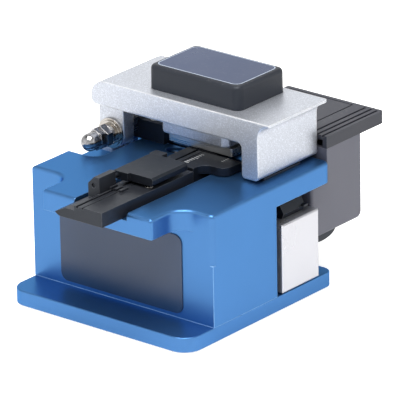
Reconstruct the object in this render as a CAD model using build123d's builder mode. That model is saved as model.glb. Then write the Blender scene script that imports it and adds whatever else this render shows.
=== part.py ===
from build123d import *
import os

# Fibre cleaver with a sliding blade carriage, a hinged clamp arm and a scrap box.
# Millimetres. The origin is the centre of the rubber pad that the cleaver stands on.
# +X points to the open end of the carriage, -Y to the operator, +Z up.
# The fibre lies along Y, and the blade crosses it along X.

# General clearances
touch_gap = 0.3
running_clearance = 0.05
bore_clearance = 0.02

# Body: base plate, wall, deck and nose cut from one billet
base_width = 65.0
base_depth = 65.0
base_top = 4.6
base_front_radius = 5.5
base_rear_radius = 3.0
base_edge_radius = 0.4
wall_setback = 11.5
wall_thickness = 28.0
wall_corner_radius = 1.5
corner_blend_height = 22.7
deck_height = 37.6
deck_thickness = 6.0
deck_setback = 0.8
deck_rear_radius = 2.5
deck_edge_radius = 1.0
nose_from_left = 14.1
nose_width = 39.2
nose_overhang = 0.6
nose_blend_radius = 5.5
nose_corner_radius = 0.8

# Rubber standing pad let into the underside
pad_width = 50.0
pad_depth = 46.0
pad_thickness = 1.3
pad_proud = 0.3
pad_corner_radius = 4.0

# Front label plate
label_width = 44.0
label_height = 23.4
label_thickness = 0.3
label_from_left = 10.0
label_above_base = 1.3
label_corner_radius = 2.5

# Adapter channel in the deck
channel_from_left = 25.8
channel_width = 18.8
channel_depth = 2.1
channel_length = 44.1

# Hinge notch at the left of the deck
notch_width = 11.0
notch_from_front = 26.5
notch_corner_radius = 4.0
ledge_drop = 3.3

# Fibre line and blade plane
fibre_from_left = 35.0
fibre_above_deck = 2.7
blade_from_front = 48.75

# Closing magnets in the deck
left_magnet_from_left = 24.0
right_magnet_from_left = 44.3
magnet_from_front = 45.0
magnet_radius = 1.6
magnet_length = 3.3
magnet_proud = 1.0
magnet_pocket_radius = 2.4
magnet_pocket_depth = 1.8

# Blade and its shaft
blade_thickness = 0.6
blade_hub_radius = 2.0
blade_hub_width = 2.6
blade_fibre_gap = 0.05
blade_slot_width = 2.0
blade_slot_clearance = 0.5
shaft_radius = 1.0
shaft_head_radius = 1.7
shaft_head_height = 1.0
blade_travel = 16.0

# Linear rail and its bearing block
rail_from_left = 11.0
rail_length = 49.0
rail_width = 5.0
rail_height = 3.6
rail_groove_depth = 0.5
rail_screw_pitch = 19.0
rail_screw_count = 3
bearing_from_left = 18.0
bearing_length = 20.0
bearing_width = 12.0
bearing_lift = 0.8
bearing_height = 5.2

# Blade carriage
carriage_proud = 1.0
carriage_length = 54.0
carriage_front_gap = 1.4
carriage_depth = 16.3
carriage_lift = 0.8
carriage_height = 20.4
carriage_end_wall = 3.0
carriage_bevel = 0.4
carriage_slot_width = 1.8
rail_channel_clearance = 0.6

# Blade bracket on the carriage
bracket_length = 27.0
bracket_depth = 12.0
bracket_plate = 1.2
cheek_thickness = 2.4
cheek_width = 8.0
cheek_deck_gap = 0.4
cheek_corner_radius = 1.6
bracket_screw_spread = 22.0

# Trip bar on the carriage
trip_bar_inset = 2.4
trip_bar_width = 3.8
trip_bar_height = 4.8
trip_ridge_height = 1.6
trip_top_inset = 1.9
trip_foot_inset = 0.8
trip_bar_from_front = 44.5
trip_bar_length = 9.5
trip_fin_reach = 1.0
trip_fin_length = 1.6
trip_fin_thickness = 0.6

# Hinge pin and its block
pin_from_left = 5.8
pin_radius = 2.0
block_from_front = 46.3
block_length = 10.9
block_boss_radius = 4.4
block_foot_left = 9.6
block_foot_right = 19.3
block_height = 5.8
block_top_left = 11.6
block_screw_pitch = 5.6
block_screw_from_left = 14.2
pin_front = 30.4
pin_rear = 63.5
clip_radius = 3.4
clip_thickness = 0.6

# Nuts and washers on the front end of the hinge pin
dome_radius = 2.6
dome_tip_from_front = 27.2
dome_neck_end = 32.0
dome_hex = 5.5
dome_hex_turn = -19.0
dome_nut_end = 34.1
lock_nut_hex = 6.2
lock_nut_turn = -31.0
lock_nut_end = 36.4
collar_radius = 3.2
collar_end = 38.1
small_washer_radius = 3.9
small_washer_end = 38.7
washer_radius = 4.45
washer_end = 39.3

# Arm
arm_left_overhang = 0.2
arm_lip_from_left = 64.0
arm_front = 37.8
arm_depth = 26.5
arm_above_deck = 10.9
arm_thickness = 7.3
arm_end_radius = 5.0
arm_lower_radius = 2.0
leg_from_left = 54.3
leg_thickness = 5.7
leg_gap = 0.8
leg_corner_radius = 1.0
leg_root_radius = 1.5
cove_height = 4.7
lip_plan_radius = 1.0
ear_from_left = 1.3
ear_radius = 4.4
ear_heel_drop = 6.6
ear_heel_radius = 1.5
ear_setback = 1.7
ear_thickness = 4.4
rear_ear_from_front = 57.5
bush_radius = 2.75
spacer_half_width = 3.8
spacer_rise = 6.2
spacer_corner_radius = 0.8

# Push pad and its label plate
push_pad_width = 32.8
push_pad_depth = 21.3
push_pad_height = 7.1
push_pad_from_left = 17.8
push_pad_from_front = 41.4
push_pad_seat = 0.8
push_pad_radius = 2.4
push_pad_edge_radius = 1.2
push_pad_draft = 0.5
push_pad_rim = 2.3
push_label_depth = 0.5
push_label_radius = 1.6

# Stop strip below the leg
strip_width = 5.0
strip_length = 16.0
strip_from_front = 41.0
strip_gap = 0.1

# Clamp block fixed below the arm
clamp_block_from_left = 22.5
clamp_block_width = 22.8
clamp_block_depth = 14.0
clamp_block_height = 5.0
clamp_block_front = 42.0
clamp_block_radius = 1.0
clamp_block_bevel = 1.6
clamp_screw_spread = 17.0
clamp_screw_from_front = 53.0

# Floating clamp carrier below the block
carrier_from_left = 22.7
carrier_width = 23.2
carrier_depth = 9.7
carrier_height = 2.3
carrier_above_fibre = 0.3
carrier_window_width = 6.2
carrier_window_depth = 3.4
carrier_travel = 0.5
carrier_corner_radius = 0.8
guide_spread = 15.0
guide_radius = 1.0
guide_head_radius = 1.8
guide_head_height = 1.2
guide_depth = 1.6
stud_radius = 1.0
stud_drop = 0.4

# Clamp pads
pad_length = 8.0
pad_across = 2.4
pad_from_blade = 1.8
pad_squeeze_gap = 0.1
upper_pad_height = 1.9
seat_width = 13.4
seat_across = 3.6
seat_height = 1.5
seat_recess = 0.3

# Anvil
anvil_radius = 1.5
anvil_tip_width = 5.0
anvil_tip_depth = 2.6
anvil_tip_height = 2.2
anvil_above_fibre = 0.7
anvil_slot = 1.2
anvil_collar_radius = 2.5
anvil_collar_height = 0.8
anvil_bore_radius = 3.2
anvil_bore_depth = 5.4

# Springs
wire_size = 0.35
clamp_spring_radius = 1.55
clamp_spring_turns = 4
anvil_spring_radius = 2.05
anvil_spring_turns = 5

# Fibre adapter
adapter_front_overhang = 8.9
adapter_from_left = 26.0
adapter_width = 16.8
adapter_rear = 30.4
adapter_thickness = 4.3
adapter_wing_thickness = 1.1
adapter_tip_rise = 0.7
adapter_tip_undercut = 1.4
adapter_ramp_inner = 3.7
adapter_step_height = 2.9
adapter_step_inner = 6.8
groove_spread = 2.0
wide_groove = 0.9
narrow_groove = 0.4
groove_depth = 0.6
post_front = 5.9
post_length = 3.2
post_height = 0.8
post_width = 0.8
post_offsets = (-1.9, 0.1, 1.9)
front_lug_front = 1.5
front_lug_rear = 8.6
lug_from_left = 29.2
lug_width = 4.0
lug_height = 4.8
lug_bevel = 2.2
rear_lug_rear = 30.9
rear_lug_height = 3.2

# Adapter lid
lid_front = 11.7
lid_length = 16.0
lid_width = 13.6
lid_thickness = 2.4
lid_above_adapter = 1.0
lid_pin_from_left = 31.2
lid_pin_height = 2.2
lid_pin_radius = 0.7
lid_knuckle_inset = 1.7
lid_bevel = 0.6
lid_step_depth = 0.9
lid_step_length = 8.2
lid_magnet_from_left = 40.2
lid_magnet_from_front = 14.5
lid_magnet_radius = 1.2
lid_pad_width = 4.6
lid_pad_length = 10.0

# Rear guide plate
guide_front = 31.3
guide_plate_rear = 43.2
guide_from_left = 30.4
guide_narrow_right = 42.2
guide_wide_right = 50.0
guide_above_fibre = 0.0
guide_flare_front = 35.8
guide_flare_radius = 3.2
guide_flare_lift = 0.3

# Scrap box
box_front_gap = 0.1
box_depth = 16.0
box_left = 28.7
box_right = 63.0
box_floor = 15.2
box_wall = 1.5
box_top = 40.5
box_chin_front = 57.9
box_chin_corner = 1.0
box_gate_width = 4.0
box_gate_depth = 2.5
bumper_centre = 64.3
bumper_depth = 12.4
bumper_drop = 2.5
box_rear_radius = 2.0
bumper_inset = 1.5

# Scrap box bracket and its runners
bracket_front = 57.6
bracket_thickness = 1.2
runner_width = 2.0
runner_left = 32.0
runner_right = 51.0
runner_length = 13.0
box_screw_spread = 12.0
box_screw_from_front = 60.2

# Scrap box lid
box_lid_front = 64.9
box_lid_rear = 91.0
box_lid_thickness = 3.7
box_lid_skin = 1.3
box_lid_corner_radius = 0.8
box_lid_cavity_rear = 79.0
frame_groove_from_left = 52.9
frame_groove_from_rear = 1.3
frame_groove_width = 0.5
frame_groove_depth = 0.35
grip_groove_offsets = (57.45, 59.6, 61.6)
grip_groove_width = 0.8
grip_groove_depth = 0.6
grip_groove_rear_gap = 1.0
lid_rail_width = 1.0
lid_rail_depth = 1.9
lid_rail_front = 66.8
lid_rail_rear = 78.6
lid_rail_gap = 0.3

# Screws
screw_radius = 0.8
screw_head_radius = 1.5
screw_head_height = 1.3
screw_hex = 1.2
screw_hex_depth = 0.6
screw_length = 3.5


# Places worked out from the driving dimensions
left = -base_width / 2
right = base_width / 2
front = -base_depth / 2
rear = base_depth / 2
wall_front = front + wall_setback
wall_rear = wall_front + wall_thickness
deck_rear = rear - deck_setback
deck_underside = deck_height - deck_thickness
nose_left = left + nose_from_left
nose_right = nose_left + nose_width
nose_front = front - nose_overhang
channel_left = left + channel_from_left
channel_right = channel_left + channel_width
channel_floor = deck_height - channel_depth
channel_rear = nose_front + channel_length
notch_right = left + notch_width
notch_front = front + notch_from_front
ledge_top = deck_height - ledge_drop
fibre_x = left + fibre_from_left
fibre_z = deck_height + fibre_above_deck
blade_y = front + blade_from_front
blade_z = deck_underside - cheek_deck_gap + running_clearance - blade_hub_radius
blade_radius = fibre_z - blade_fibre_gap - blade_z
blade_x = fibre_x - blade_travel / 2
magnet_y = front + magnet_from_front
magnet_points = [(left + left_magnet_from_left, magnet_y), (left + right_magnet_from_left, magnet_y)]
rail_left = left + rail_from_left
rail_right = rail_left + rail_length
rail_top = base_top + rail_height
rail_middle = (rail_left + rail_right) / 2
carriage_right = right + carriage_proud
carriage_left = carriage_right - carriage_length
carriage_front = wall_rear + carriage_front_gap
carriage_rear = carriage_front + carriage_depth
carriage_bottom = base_top + carriage_lift
carriage_top = carriage_bottom + carriage_height
bearing_left = left + bearing_from_left
bearing_right = bearing_left + bearing_length
bearing_bottom = base_top + bearing_lift
bearing_top = bearing_bottom + bearing_height
pin_x = left + pin_from_left
pin_z = fibre_z
block_front = front + block_from_front
block_rear = block_front + block_length
arm_left = left - arm_left_overhang
arm_lip = left + arm_lip_from_left
arm_near = front + arm_front
arm_far = arm_near + arm_depth
arm_underside = deck_height + arm_above_deck
arm_top = arm_underside + arm_thickness
leg_left = left + leg_from_left
leg_right = leg_left + leg_thickness
leg_bottom = deck_height + leg_gap
ear_left = left + ear_from_left
ear_right = pin_x + ear_radius
front_ear_near = arm_near + ear_setback
front_ear_far = front_ear_near + ear_thickness
rear_ear_near = front + rear_ear_from_front
rear_ear_far = rear_ear_near + ear_thickness
clamp_left = left + clamp_block_from_left
clamp_right = clamp_left + clamp_block_width
clamp_x = (clamp_left + clamp_right) / 2
clamp_top = arm_underside
clamp_bottom = clamp_top - clamp_block_height
clamp_near = front + clamp_block_front
carrier_bottom = fibre_z + carrier_above_fibre
carrier_top = carrier_bottom + carrier_height
carrier_left = left + carrier_from_left
carrier_right = carrier_left + carrier_width
carrier_near = blade_y - carrier_depth / 2
carrier_far = blade_y + carrier_depth / 2
adapter_near = front - adapter_front_overhang
adapter_far = front + adapter_rear
adapter_left = left + adapter_from_left
adapter_right = adapter_left + adapter_width
adapter_top = channel_floor + adapter_thickness
lid_pin_x = left + lid_pin_from_left
lid_pin_z = adapter_top + lid_pin_height
lid_near = front + lid_front
lid_far = lid_near + lid_length
lid_bottom = adapter_top + lid_above_adapter
lid_top = lid_bottom + lid_thickness
lid_left = lid_pin_x - lid_knuckle_inset
lid_right = lid_left + lid_width
lug_left = left + lug_from_left
box_x_left = left + box_left
box_x_right = left + box_right
plate_left = left + runner_left
plate_right = left + runner_right + runner_width
box_screw_x = (plate_left + plate_right) / 2
box_near = rear - box_front_gap
box_far = box_near + box_depth
box_lid_near = front + box_lid_front
box_lid_far = front + box_lid_rear


def front_plane(y):
    """Plane facing the operator at this depth, drawn in X and Z; a negative extrude goes back."""
    return Plane.XZ.offset(-y)


def rectangle_between(x_low, y_low, x_high, y_high, mode=Mode.ADD):
    """Rectangle in the open sketch, from two opposite corners."""
    with Locations(((x_low + x_high) / 2, (y_low + y_high) / 2)):
        Rectangle(x_high - x_low, y_high - y_low, mode=mode)


def block_between(x_low, x_high, y_low, y_high, z_low, z_high, mode=Mode.ADD):
    """Straight block in the open part, from its limits along each axis."""
    with Locations((x_low, y_low, z_low)):
        Box(x_high - x_low, y_high - y_low, z_high - z_low, align=(Align.MIN, Align.MIN, Align.MIN), mode=mode)


def corners(sketch, points):
    """Corner points of an open sketch that lie nearest to the given points."""
    return [sketch.vertices().sort_by_distance(point)[0] for point in points]


# Base body
with BuildPart() as base_body:
    with BuildSketch(Plane.XY.offset(pad_proud)) as base_outline:
        rectangle_between(left, front, right, rear)
        fillet(corners(base_outline, [(left, front), (right, front)]), base_front_radius)
        fillet(corners(base_outline, [(left, rear), (right, rear)]), base_rear_radius)
    extrude(amount=base_top - pad_proud)
    fillet(base_body.faces().sort_by(Axis.Z)[-1].edges(), base_edge_radius)
    with BuildSketch(Plane.XY.offset(base_top)):
        rectangle_between(left, wall_front, right, wall_rear)
    extrude(amount=corner_blend_height - base_top)
    with BuildSketch(Plane.XY.offset(corner_blend_height)) as wall_outline:
        rectangle_between(left, wall_front, right, wall_rear)
        fillet(corners(wall_outline, [(right, wall_front)]), wall_corner_radius)
    extrude(amount=deck_underside - corner_blend_height)
    with BuildSketch(Plane.XY.offset(deck_underside)) as deck_outline:
        rectangle_between(left, wall_front, right, deck_rear)
        rectangle_between(nose_left, nose_front, nose_right, wall_front)
        fillet(corners(deck_outline, [(nose_left, wall_front), (nose_right, wall_front)]), nose_blend_radius)
        fillet(corners(deck_outline, [(nose_left, nose_front), (nose_right, nose_front)]), nose_corner_radius)
        fillet(corners(deck_outline, [(right, wall_front)]), wall_corner_radius)
        fillet(corners(deck_outline, [(left, deck_rear), (right, deck_rear)]), deck_rear_radius)
    extrude(amount=deck_thickness)
    fillet(base_body.faces().sort_by(Axis.Z)[-1].outer_wire().edges(), deck_edge_radius)
    # Adapter channel, open at the nose
    block_between(
        channel_left, channel_right, nose_front - base_depth, channel_rear,
        channel_floor, deck_height + deck_thickness, mode=Mode.SUBTRACT,
    )
    # Hinge notch with its ledge, cut through below both ears of the arm
    with BuildSketch(Plane.XY.offset(ledge_top)) as notch_outline:
        rectangle_between(left - notch_width, notch_front, notch_right, rear + base_depth)
        fillet(corners(notch_outline, [(notch_right, notch_front)]), notch_corner_radius)
    extrude(amount=deck_thickness, mode=Mode.SUBTRACT)
    for slot_near, slot_far in ((wall_rear, front_ear_far), (rear_ear_near, rear_ear_far)):
        block_between(
            left - notch_width, notch_right, slot_near, slot_far + touch_gap,
            deck_underside - touch_gap, deck_height, mode=Mode.SUBTRACT,
        )
    # Slot that the blade crosses the deck in, with ends swept to the blade's own radius
    with BuildSketch(front_plane(blade_y - blade_slot_width / 2)):
        with Locations((fibre_x, blade_z)):
            SlotCenterToCenter(blade_travel, 2 * (blade_radius + blade_slot_clearance))
    extrude(amount=-blade_slot_width, mode=Mode.SUBTRACT)
    # Pockets and bores of the closing magnets
    with BuildSketch(Plane.XY.offset(deck_height)):
        with Locations(*magnet_points):
            Circle(magnet_pocket_radius)
    extrude(amount=-magnet_pocket_depth, mode=Mode.SUBTRACT)
    with BuildSketch(Plane.XY.offset(deck_height)):
        with Locations(*magnet_points):
            Circle(magnet_radius)
    extrude(amount=-magnet_pocket_depth - magnet_length + magnet_proud, mode=Mode.SUBTRACT)
    # Recess of the standing pad
    with BuildSketch(Plane.XY.offset(pad_proud)):
        RectangleRounded(pad_width, pad_depth, pad_corner_radius)
    extrude(amount=pad_thickness - pad_proud, mode=Mode.SUBTRACT)
    # Tapped holes for the rail, the hinge block and the scrap box bracket
    with BuildSketch(Plane.XY.offset(base_top)):
        with Locations((rail_middle, blade_y)):
            with GridLocations(rail_screw_pitch, 0, rail_screw_count, 1):
                Circle(screw_radius)
    extrude(amount=-(base_top - pad_thickness) + touch_gap, mode=Mode.SUBTRACT)
    with BuildSketch(Plane.XY.offset(deck_height)):
        with Locations((left + block_screw_from_left, (block_front + block_rear) / 2)):
            with GridLocations(0, block_screw_pitch, 1, 2):
                Circle(screw_radius)
        with Locations((box_screw_x, front + box_screw_from_front)):
            with GridLocations(box_screw_spread, 0, 2, 1):
                Circle(screw_radius)
    extrude(amount=-screw_length, mode=Mode.SUBTRACT)
base_body.part.label = "base_body"
export_step(base_body.part, "parts/base_body.step")

# Standing pad
with BuildPart() as standing_pad:
    with BuildSketch():
        RectangleRounded(pad_width, pad_depth, pad_corner_radius)
    extrude(amount=pad_thickness)
standing_pad.part.label = "standing_pad"
export_step(standing_pad.part, "parts/standing_pad.step")

# Front label plate
label_left = left + label_from_left
label_bottom = base_top + label_above_base
with BuildPart() as front_label:
    with BuildSketch(front_plane(wall_front)):
        with Locations((label_left + label_width / 2, label_bottom + label_height / 2)):
            RectangleRounded(label_width, label_height, label_corner_radius)
    extrude(amount=label_thickness)
front_label.part.label = "front_label_plate"
export_step(front_label.part, "parts/front_label_plate.step")

# Closing magnets in the deck
with BuildPart() as deck_magnets:
    with BuildSketch(Plane.XY.offset(deck_height - magnet_pocket_depth + magnet_proud)):
        with Locations(*magnet_points):
            Circle(magnet_radius)
    extrude(amount=-magnet_length)
deck_magnets.part.label = "deck_magnets"
export_step(deck_magnets.part, "parts/deck_magnets.step")

# Stop strip below the leg of the arm
strip_height = leg_gap - strip_gap
strip_left = leg_left + (leg_thickness - strip_width) / 2
strip_near = front + strip_from_front
with BuildPart() as stop_strip:
    block_between(
        strip_left, strip_left + strip_width, strip_near, strip_near + strip_length,
        deck_height, deck_height + strip_height,
    )
stop_strip.part.label = "stop_strip"
export_step(stop_strip.part, "parts/stop_strip.step")

# Linear rail
with BuildPart() as guide_rail:
    with BuildSketch(Plane.YZ.offset(rail_left)) as rail_section:
        rectangle_between(blade_y - rail_width / 2, base_top, blade_y + rail_width / 2, rail_top)
        for side in (-1, 1):
            with Locations((blade_y + side * rail_width / 2, base_top + rail_height / 2)):
                Rectangle(2 * rail_groove_depth, 2 * rail_groove_depth, rotation=45, mode=Mode.SUBTRACT)
    extrude(amount=rail_length)
    with Locations((rail_middle, blade_y, rail_top)):
        with GridLocations(rail_screw_pitch, 0, rail_screw_count, 1):
            CounterBoreHole(screw_radius, screw_head_radius, screw_head_height)
guide_rail.part.label = "guide_rail"
export_step(guide_rail.part, "parts/guide_rail.step")

# Rail screws
with BuildPart() as rail_screws:
    with BuildSketch(Plane.XY.offset(rail_top)):
        with Locations((rail_middle, blade_y)):
            with GridLocations(rail_screw_pitch, 0, rail_screw_count, 1):
                Circle(screw_head_radius)
    extrude(amount=-screw_head_height)
    with BuildSketch(Plane.XY.offset(rail_top - screw_head_height)):
        with Locations((rail_middle, blade_y)):
            with GridLocations(rail_screw_pitch, 0, rail_screw_count, 1):
                Circle(screw_radius)
    extrude(amount=-(rail_height - screw_head_height) - screw_radius)
    with BuildSketch(Plane.XY.offset(rail_top)):
        with Locations((rail_middle, blade_y)):
            with GridLocations(rail_screw_pitch, 0, rail_screw_count, 1):
                RegularPolygon(screw_hex / 2, 6, major_radius=False)
    extrude(amount=-screw_hex_depth, mode=Mode.SUBTRACT)
rail_screws.part.label = "rail_screws"
export_step(rail_screws.part, "parts/rail_screws.step")

# Bearing block that runs on the rail
with BuildPart() as rail_bearing:
    with BuildSketch(Plane.YZ.offset(bearing_left)):
        rectangle_between(
            blade_y - bearing_width / 2, bearing_bottom, blade_y + bearing_width / 2, bearing_top,
        )
        rectangle_between(
            blade_y - rail_width / 2 - running_clearance, bearing_bottom - bearing_height,
            blade_y + rail_width / 2 + running_clearance, rail_top + running_clearance, mode=Mode.SUBTRACT,
        )
    extrude(amount=bearing_length)
rail_bearing.part.label = "rail_bearing"
export_step(rail_bearing.part, "parts/rail_bearing.step")

# Blade carriage
rail_channel_half = rail_width / 2 + rail_channel_clearance
with BuildPart() as carriage:
    block_between(
        carriage_left, carriage_right, carriage_front, carriage_rear, carriage_bottom, carriage_top,
    )
    chamfer(carriage.faces().sort_by(Axis.X)[-1].edges(), carriage_bevel)
    block_between(
        carriage_left - carriage_end_wall, carriage_right - carriage_end_wall,
        blade_y - rail_channel_half, blade_y + rail_channel_half,
        carriage_bottom, rail_top + rail_channel_clearance, mode=Mode.SUBTRACT,
    )
    block_between(
        bearing_left, bearing_right, blade_y - bearing_width / 2, blade_y + bearing_width / 2,
        carriage_bottom, bearing_top, mode=Mode.SUBTRACT,
    )
    with BuildSketch(front_plane(blade_y - carriage_slot_width / 2)):
        with Locations((blade_x, blade_z)):
            Circle(blade_radius + blade_slot_clearance)
    extrude(amount=-carriage_slot_width, mode=Mode.SUBTRACT)
    with BuildSketch(Plane.XY.offset(carriage_top)):
        with Locations((blade_x, blade_y)):
            with GridLocations(bracket_screw_spread, bracket_depth - 2 * screw_head_radius, 2, 2):
                Circle(screw_radius)
    extrude(amount=-screw_length, mode=Mode.SUBTRACT)
carriage.part.label = "blade_carriage"
export_step(carriage.part, "parts/blade_carriage.step")

# Bracket that carries the blade shaft
cheek_inner = blade_hub_width / 2 + touch_gap
cheek_top = deck_underside - cheek_deck_gap
bracket_top = carriage_top + bracket_plate
bracket_hole_depth = bracket_depth - 2 * screw_head_radius
with BuildPart() as blade_bracket:
    with BuildSketch(Plane.XY.offset(carriage_top)):
        with Locations((blade_x, blade_y)):
            Rectangle(bracket_length, bracket_depth)
    extrude(amount=bracket_plate)
    for side in (-1, 1):
        cheek_near = blade_y + side * (cheek_inner + cheek_thickness / 2) - cheek_thickness / 2
        with BuildSketch(front_plane(cheek_near)) as cheek_outline:
            rectangle_between(
                blade_x - cheek_width / 2, bracket_top, blade_x + cheek_width / 2, cheek_top,
            )
            fillet(
                corners(cheek_outline, [(blade_x - cheek_width / 2, cheek_top), (blade_x + cheek_width / 2, cheek_top)]),
                cheek_corner_radius,
            )
        extrude(amount=-cheek_thickness)
    with BuildSketch(front_plane(blade_y - carriage_slot_width / 2)):
        with Locations((blade_x, blade_z)):
            Circle(blade_radius + blade_slot_clearance)
    extrude(amount=-carriage_slot_width, mode=Mode.SUBTRACT)
    with BuildSketch(front_plane(blade_y - bracket_depth)):
        with Locations((blade_x, blade_z)):
            Circle(shaft_radius)
    extrude(amount=-2 * bracket_depth, mode=Mode.SUBTRACT)
    with BuildSketch(Plane.XY.offset(bracket_top)):
        with Locations((blade_x, blade_y)):
            with GridLocations(bracket_screw_spread, bracket_hole_depth, 2, 2):
                Circle(screw_radius)
    extrude(amount=-bracket_plate, mode=Mode.SUBTRACT)
blade_bracket.part.label = "blade_bracket"
export_step(blade_bracket.part, "parts/blade_bracket.step")

# Bracket screws
with BuildPart() as bracket_screws:
    with BuildSketch(Plane.XY.offset(bracket_top)):
        with Locations((blade_x, blade_y)):
            with GridLocations(bracket_screw_spread, bracket_hole_depth, 2, 2):
                Circle(screw_head_radius)
    extrude(amount=screw_head_height)
    with BuildSketch(Plane.XY.offset(bracket_top)):
        with Locations((blade_x, blade_y)):
            with GridLocations(bracket_screw_spread, bracket_hole_depth, 2, 2):
                Circle(screw_radius)
    extrude(amount=-bracket_plate - screw_length + touch_gap)
    with BuildSketch(Plane.XY.offset(bracket_top + screw_head_height)):
        with Locations((blade_x, blade_y)):
            with GridLocations(bracket_screw_spread, bracket_hole_depth, 2, 2):
                RegularPolygon(screw_hex / 2, 6, major_radius=False)
    extrude(amount=-screw_hex_depth, mode=Mode.SUBTRACT)
bracket_screws.part.label = "bracket_screws"
export_step(bracket_screws.part, "parts/bracket_screws.step")

# Blade shaft with its slotted head
shaft_near = blade_y - cheek_inner - cheek_thickness
shaft_far = blade_y + cheek_inner + cheek_thickness
with BuildPart() as blade_shaft:
    with BuildSketch(front_plane(shaft_near)):
        with Locations((blade_x, blade_z)):
            Circle(shaft_radius)
    extrude(amount=-(shaft_far - shaft_near))
    with BuildSketch(front_plane(shaft_near)):
        with Locations((blade_x, blade_z)):
            Circle(shaft_head_radius)
    extrude(amount=shaft_head_height)
    with BuildSketch(front_plane(shaft_near - shaft_head_height)):
        with Locations((blade_x, blade_z)):
            Rectangle(2 * shaft_head_radius, shaft_head_height / 2)
    extrude(amount=-shaft_head_height / 2, mode=Mode.SUBTRACT)
blade_shaft.part.label = "blade_shaft"
export_step(blade_shaft.part, "parts/blade_shaft.step")

# Round blade
with BuildPart() as blade:
    with BuildSketch(front_plane(blade_y - blade_thickness / 2)):
        with Locations((blade_x, blade_z)):
            Circle(blade_radius)
    extrude(amount=-blade_thickness)
    chamfer(blade.edges().filter_by(GeomType.CIRCLE), blade_thickness / 3)
    with BuildSketch(front_plane(blade_y - blade_hub_width / 2)):
        with Locations((blade_x, blade_z)):
            Circle(blade_hub_radius)
    extrude(amount=-blade_hub_width)
    with BuildSketch(front_plane(blade_y - blade_hub_width)):
        with Locations((blade_x, blade_z)):
            Circle(shaft_radius + running_clearance)
    extrude(amount=-2 * blade_hub_width, mode=Mode.SUBTRACT)
blade.part.label = "blade"
export_step(blade.part, "parts/blade.step")

# Trip bar on the carriage: a ridged bar with a short fin at its rear end
trip_right = carriage_right - trip_bar_inset
trip_left = trip_right - trip_bar_width
trip_near = front + trip_bar_from_front
trip_far = trip_near + trip_bar_length
trip_ridge = carriage_top + trip_ridge_height
with BuildPart() as trip_bar:
    with BuildSketch(front_plane(trip_near)):
        with BuildLine():
            Polyline(
                (trip_left, carriage_top), (trip_right - trip_foot_inset, carriage_top),
                (trip_right, trip_ridge), (trip_right - trip_top_inset, carriage_top + trip_bar_height),
                (trip_left, carriage_top + trip_bar_height), close=True,
            )
        make_face()
    extrude(amount=-trip_bar_length)
    block_between(
        trip_left, trip_right + trip_fin_reach, trip_far - trip_fin_length, trip_far,
        trip_ridge, trip_ridge + trip_fin_thickness,
    )
trip_bar.part.label = "trip_bar"
export_step(trip_bar.part, "parts/trip_bar.step")

# Hinge block on the deck
foot_left = left + block_foot_left
foot_right = left + block_foot_right
block_top = deck_height + block_height
with BuildPart() as hinge_block:
    with BuildSketch(front_plane(block_front)) as block_outline:
        with BuildLine():
            Polyline(
                (foot_left, deck_height), (foot_right, deck_height), (foot_right, block_top),
                (left + block_top_left, block_top), (pin_x, pin_z + block_boss_radius),
                (pin_x, pin_z), close=True,
            )
        make_face()
        with Locations((pin_x, pin_z)):
            Circle(block_boss_radius)
    extrude(amount=-block_length)
    with BuildSketch(front_plane(block_front)):
        with Locations((pin_x, pin_z)):
            Circle(pin_radius)
    extrude(amount=-block_length, mode=Mode.SUBTRACT)
    with BuildSketch(Plane.XY.offset(block_top)):
        with Locations((left + block_screw_from_left, (block_front + block_rear) / 2)):
            with GridLocations(0, block_screw_pitch, 1, 2):
                Circle(screw_radius)
    extrude(amount=-block_height, mode=Mode.SUBTRACT)
    with BuildSketch(Plane.XY.offset(block_top)):
        with Locations((left + block_screw_from_left, (block_front + block_rear) / 2)):
            with GridLocations(0, block_screw_pitch, 1, 2):
                Circle(screw_head_radius + bore_clearance)
    extrude(amount=-screw_head_height, mode=Mode.SUBTRACT)
hinge_block.part.label = "hinge_block"
export_step(hinge_block.part, "parts/hinge_block.step")

# Hinge block screws
with BuildPart() as hinge_screws:
    with BuildSketch(Plane.XY.offset(block_top)):
        with Locations((left + block_screw_from_left, (block_front + block_rear) / 2)):
            with GridLocations(0, block_screw_pitch, 1, 2):
                Circle(screw_head_radius)
    extrude(amount=-screw_head_height)
    with BuildSketch(Plane.XY.offset(block_top - screw_head_height)):
        with Locations((left + block_screw_from_left, (block_front + block_rear) / 2)):
            with GridLocations(0, block_screw_pitch, 1, 2):
                Circle(screw_radius)
    extrude(amount=-(block_height - screw_head_height) - screw_length + touch_gap)
    with BuildSketch(Plane.XY.offset(block_top)):
        with Locations((left + block_screw_from_left, (block_front + block_rear) / 2)):
            with GridLocations(0, block_screw_pitch, 1, 2):
                RegularPolygon(screw_hex / 2, 6, major_radius=False)
    extrude(amount=-screw_hex_depth, mode=Mode.SUBTRACT)
hinge_screws.part.label = "hinge_screws"
export_step(hinge_screws.part, "parts/hinge_screws.step")

# Hinge pin
with BuildPart() as hinge_pin:
    with BuildSketch(front_plane(front + pin_front)):
        with Locations((pin_x, pin_z)):
            Circle(pin_radius)
    extrude(amount=-(pin_rear - pin_front))
hinge_pin.part.label = "hinge_pin"
export_step(hinge_pin.part, "parts/hinge_pin.step")

# Retaining clip at the rear end of the pin
clip_near = rear_ear_far + touch_gap
with BuildPart() as hinge_clip:
    with BuildSketch(front_plane(clip_near)):
        with Locations((pin_x, pin_z)):
            Circle(clip_radius)
            Circle(pin_radius, mode=Mode.SUBTRACT)
        rectangle_between(
            pin_x - pin_radius / 2, pin_z - clip_radius, pin_x + pin_radius / 2, pin_z - pin_radius / 2,
            mode=Mode.SUBTRACT,
        )
    extrude(amount=-clip_thickness)
hinge_clip.part.label = "hinge_clip"
export_step(hinge_clip.part, "parts/hinge_clip.step")

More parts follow.
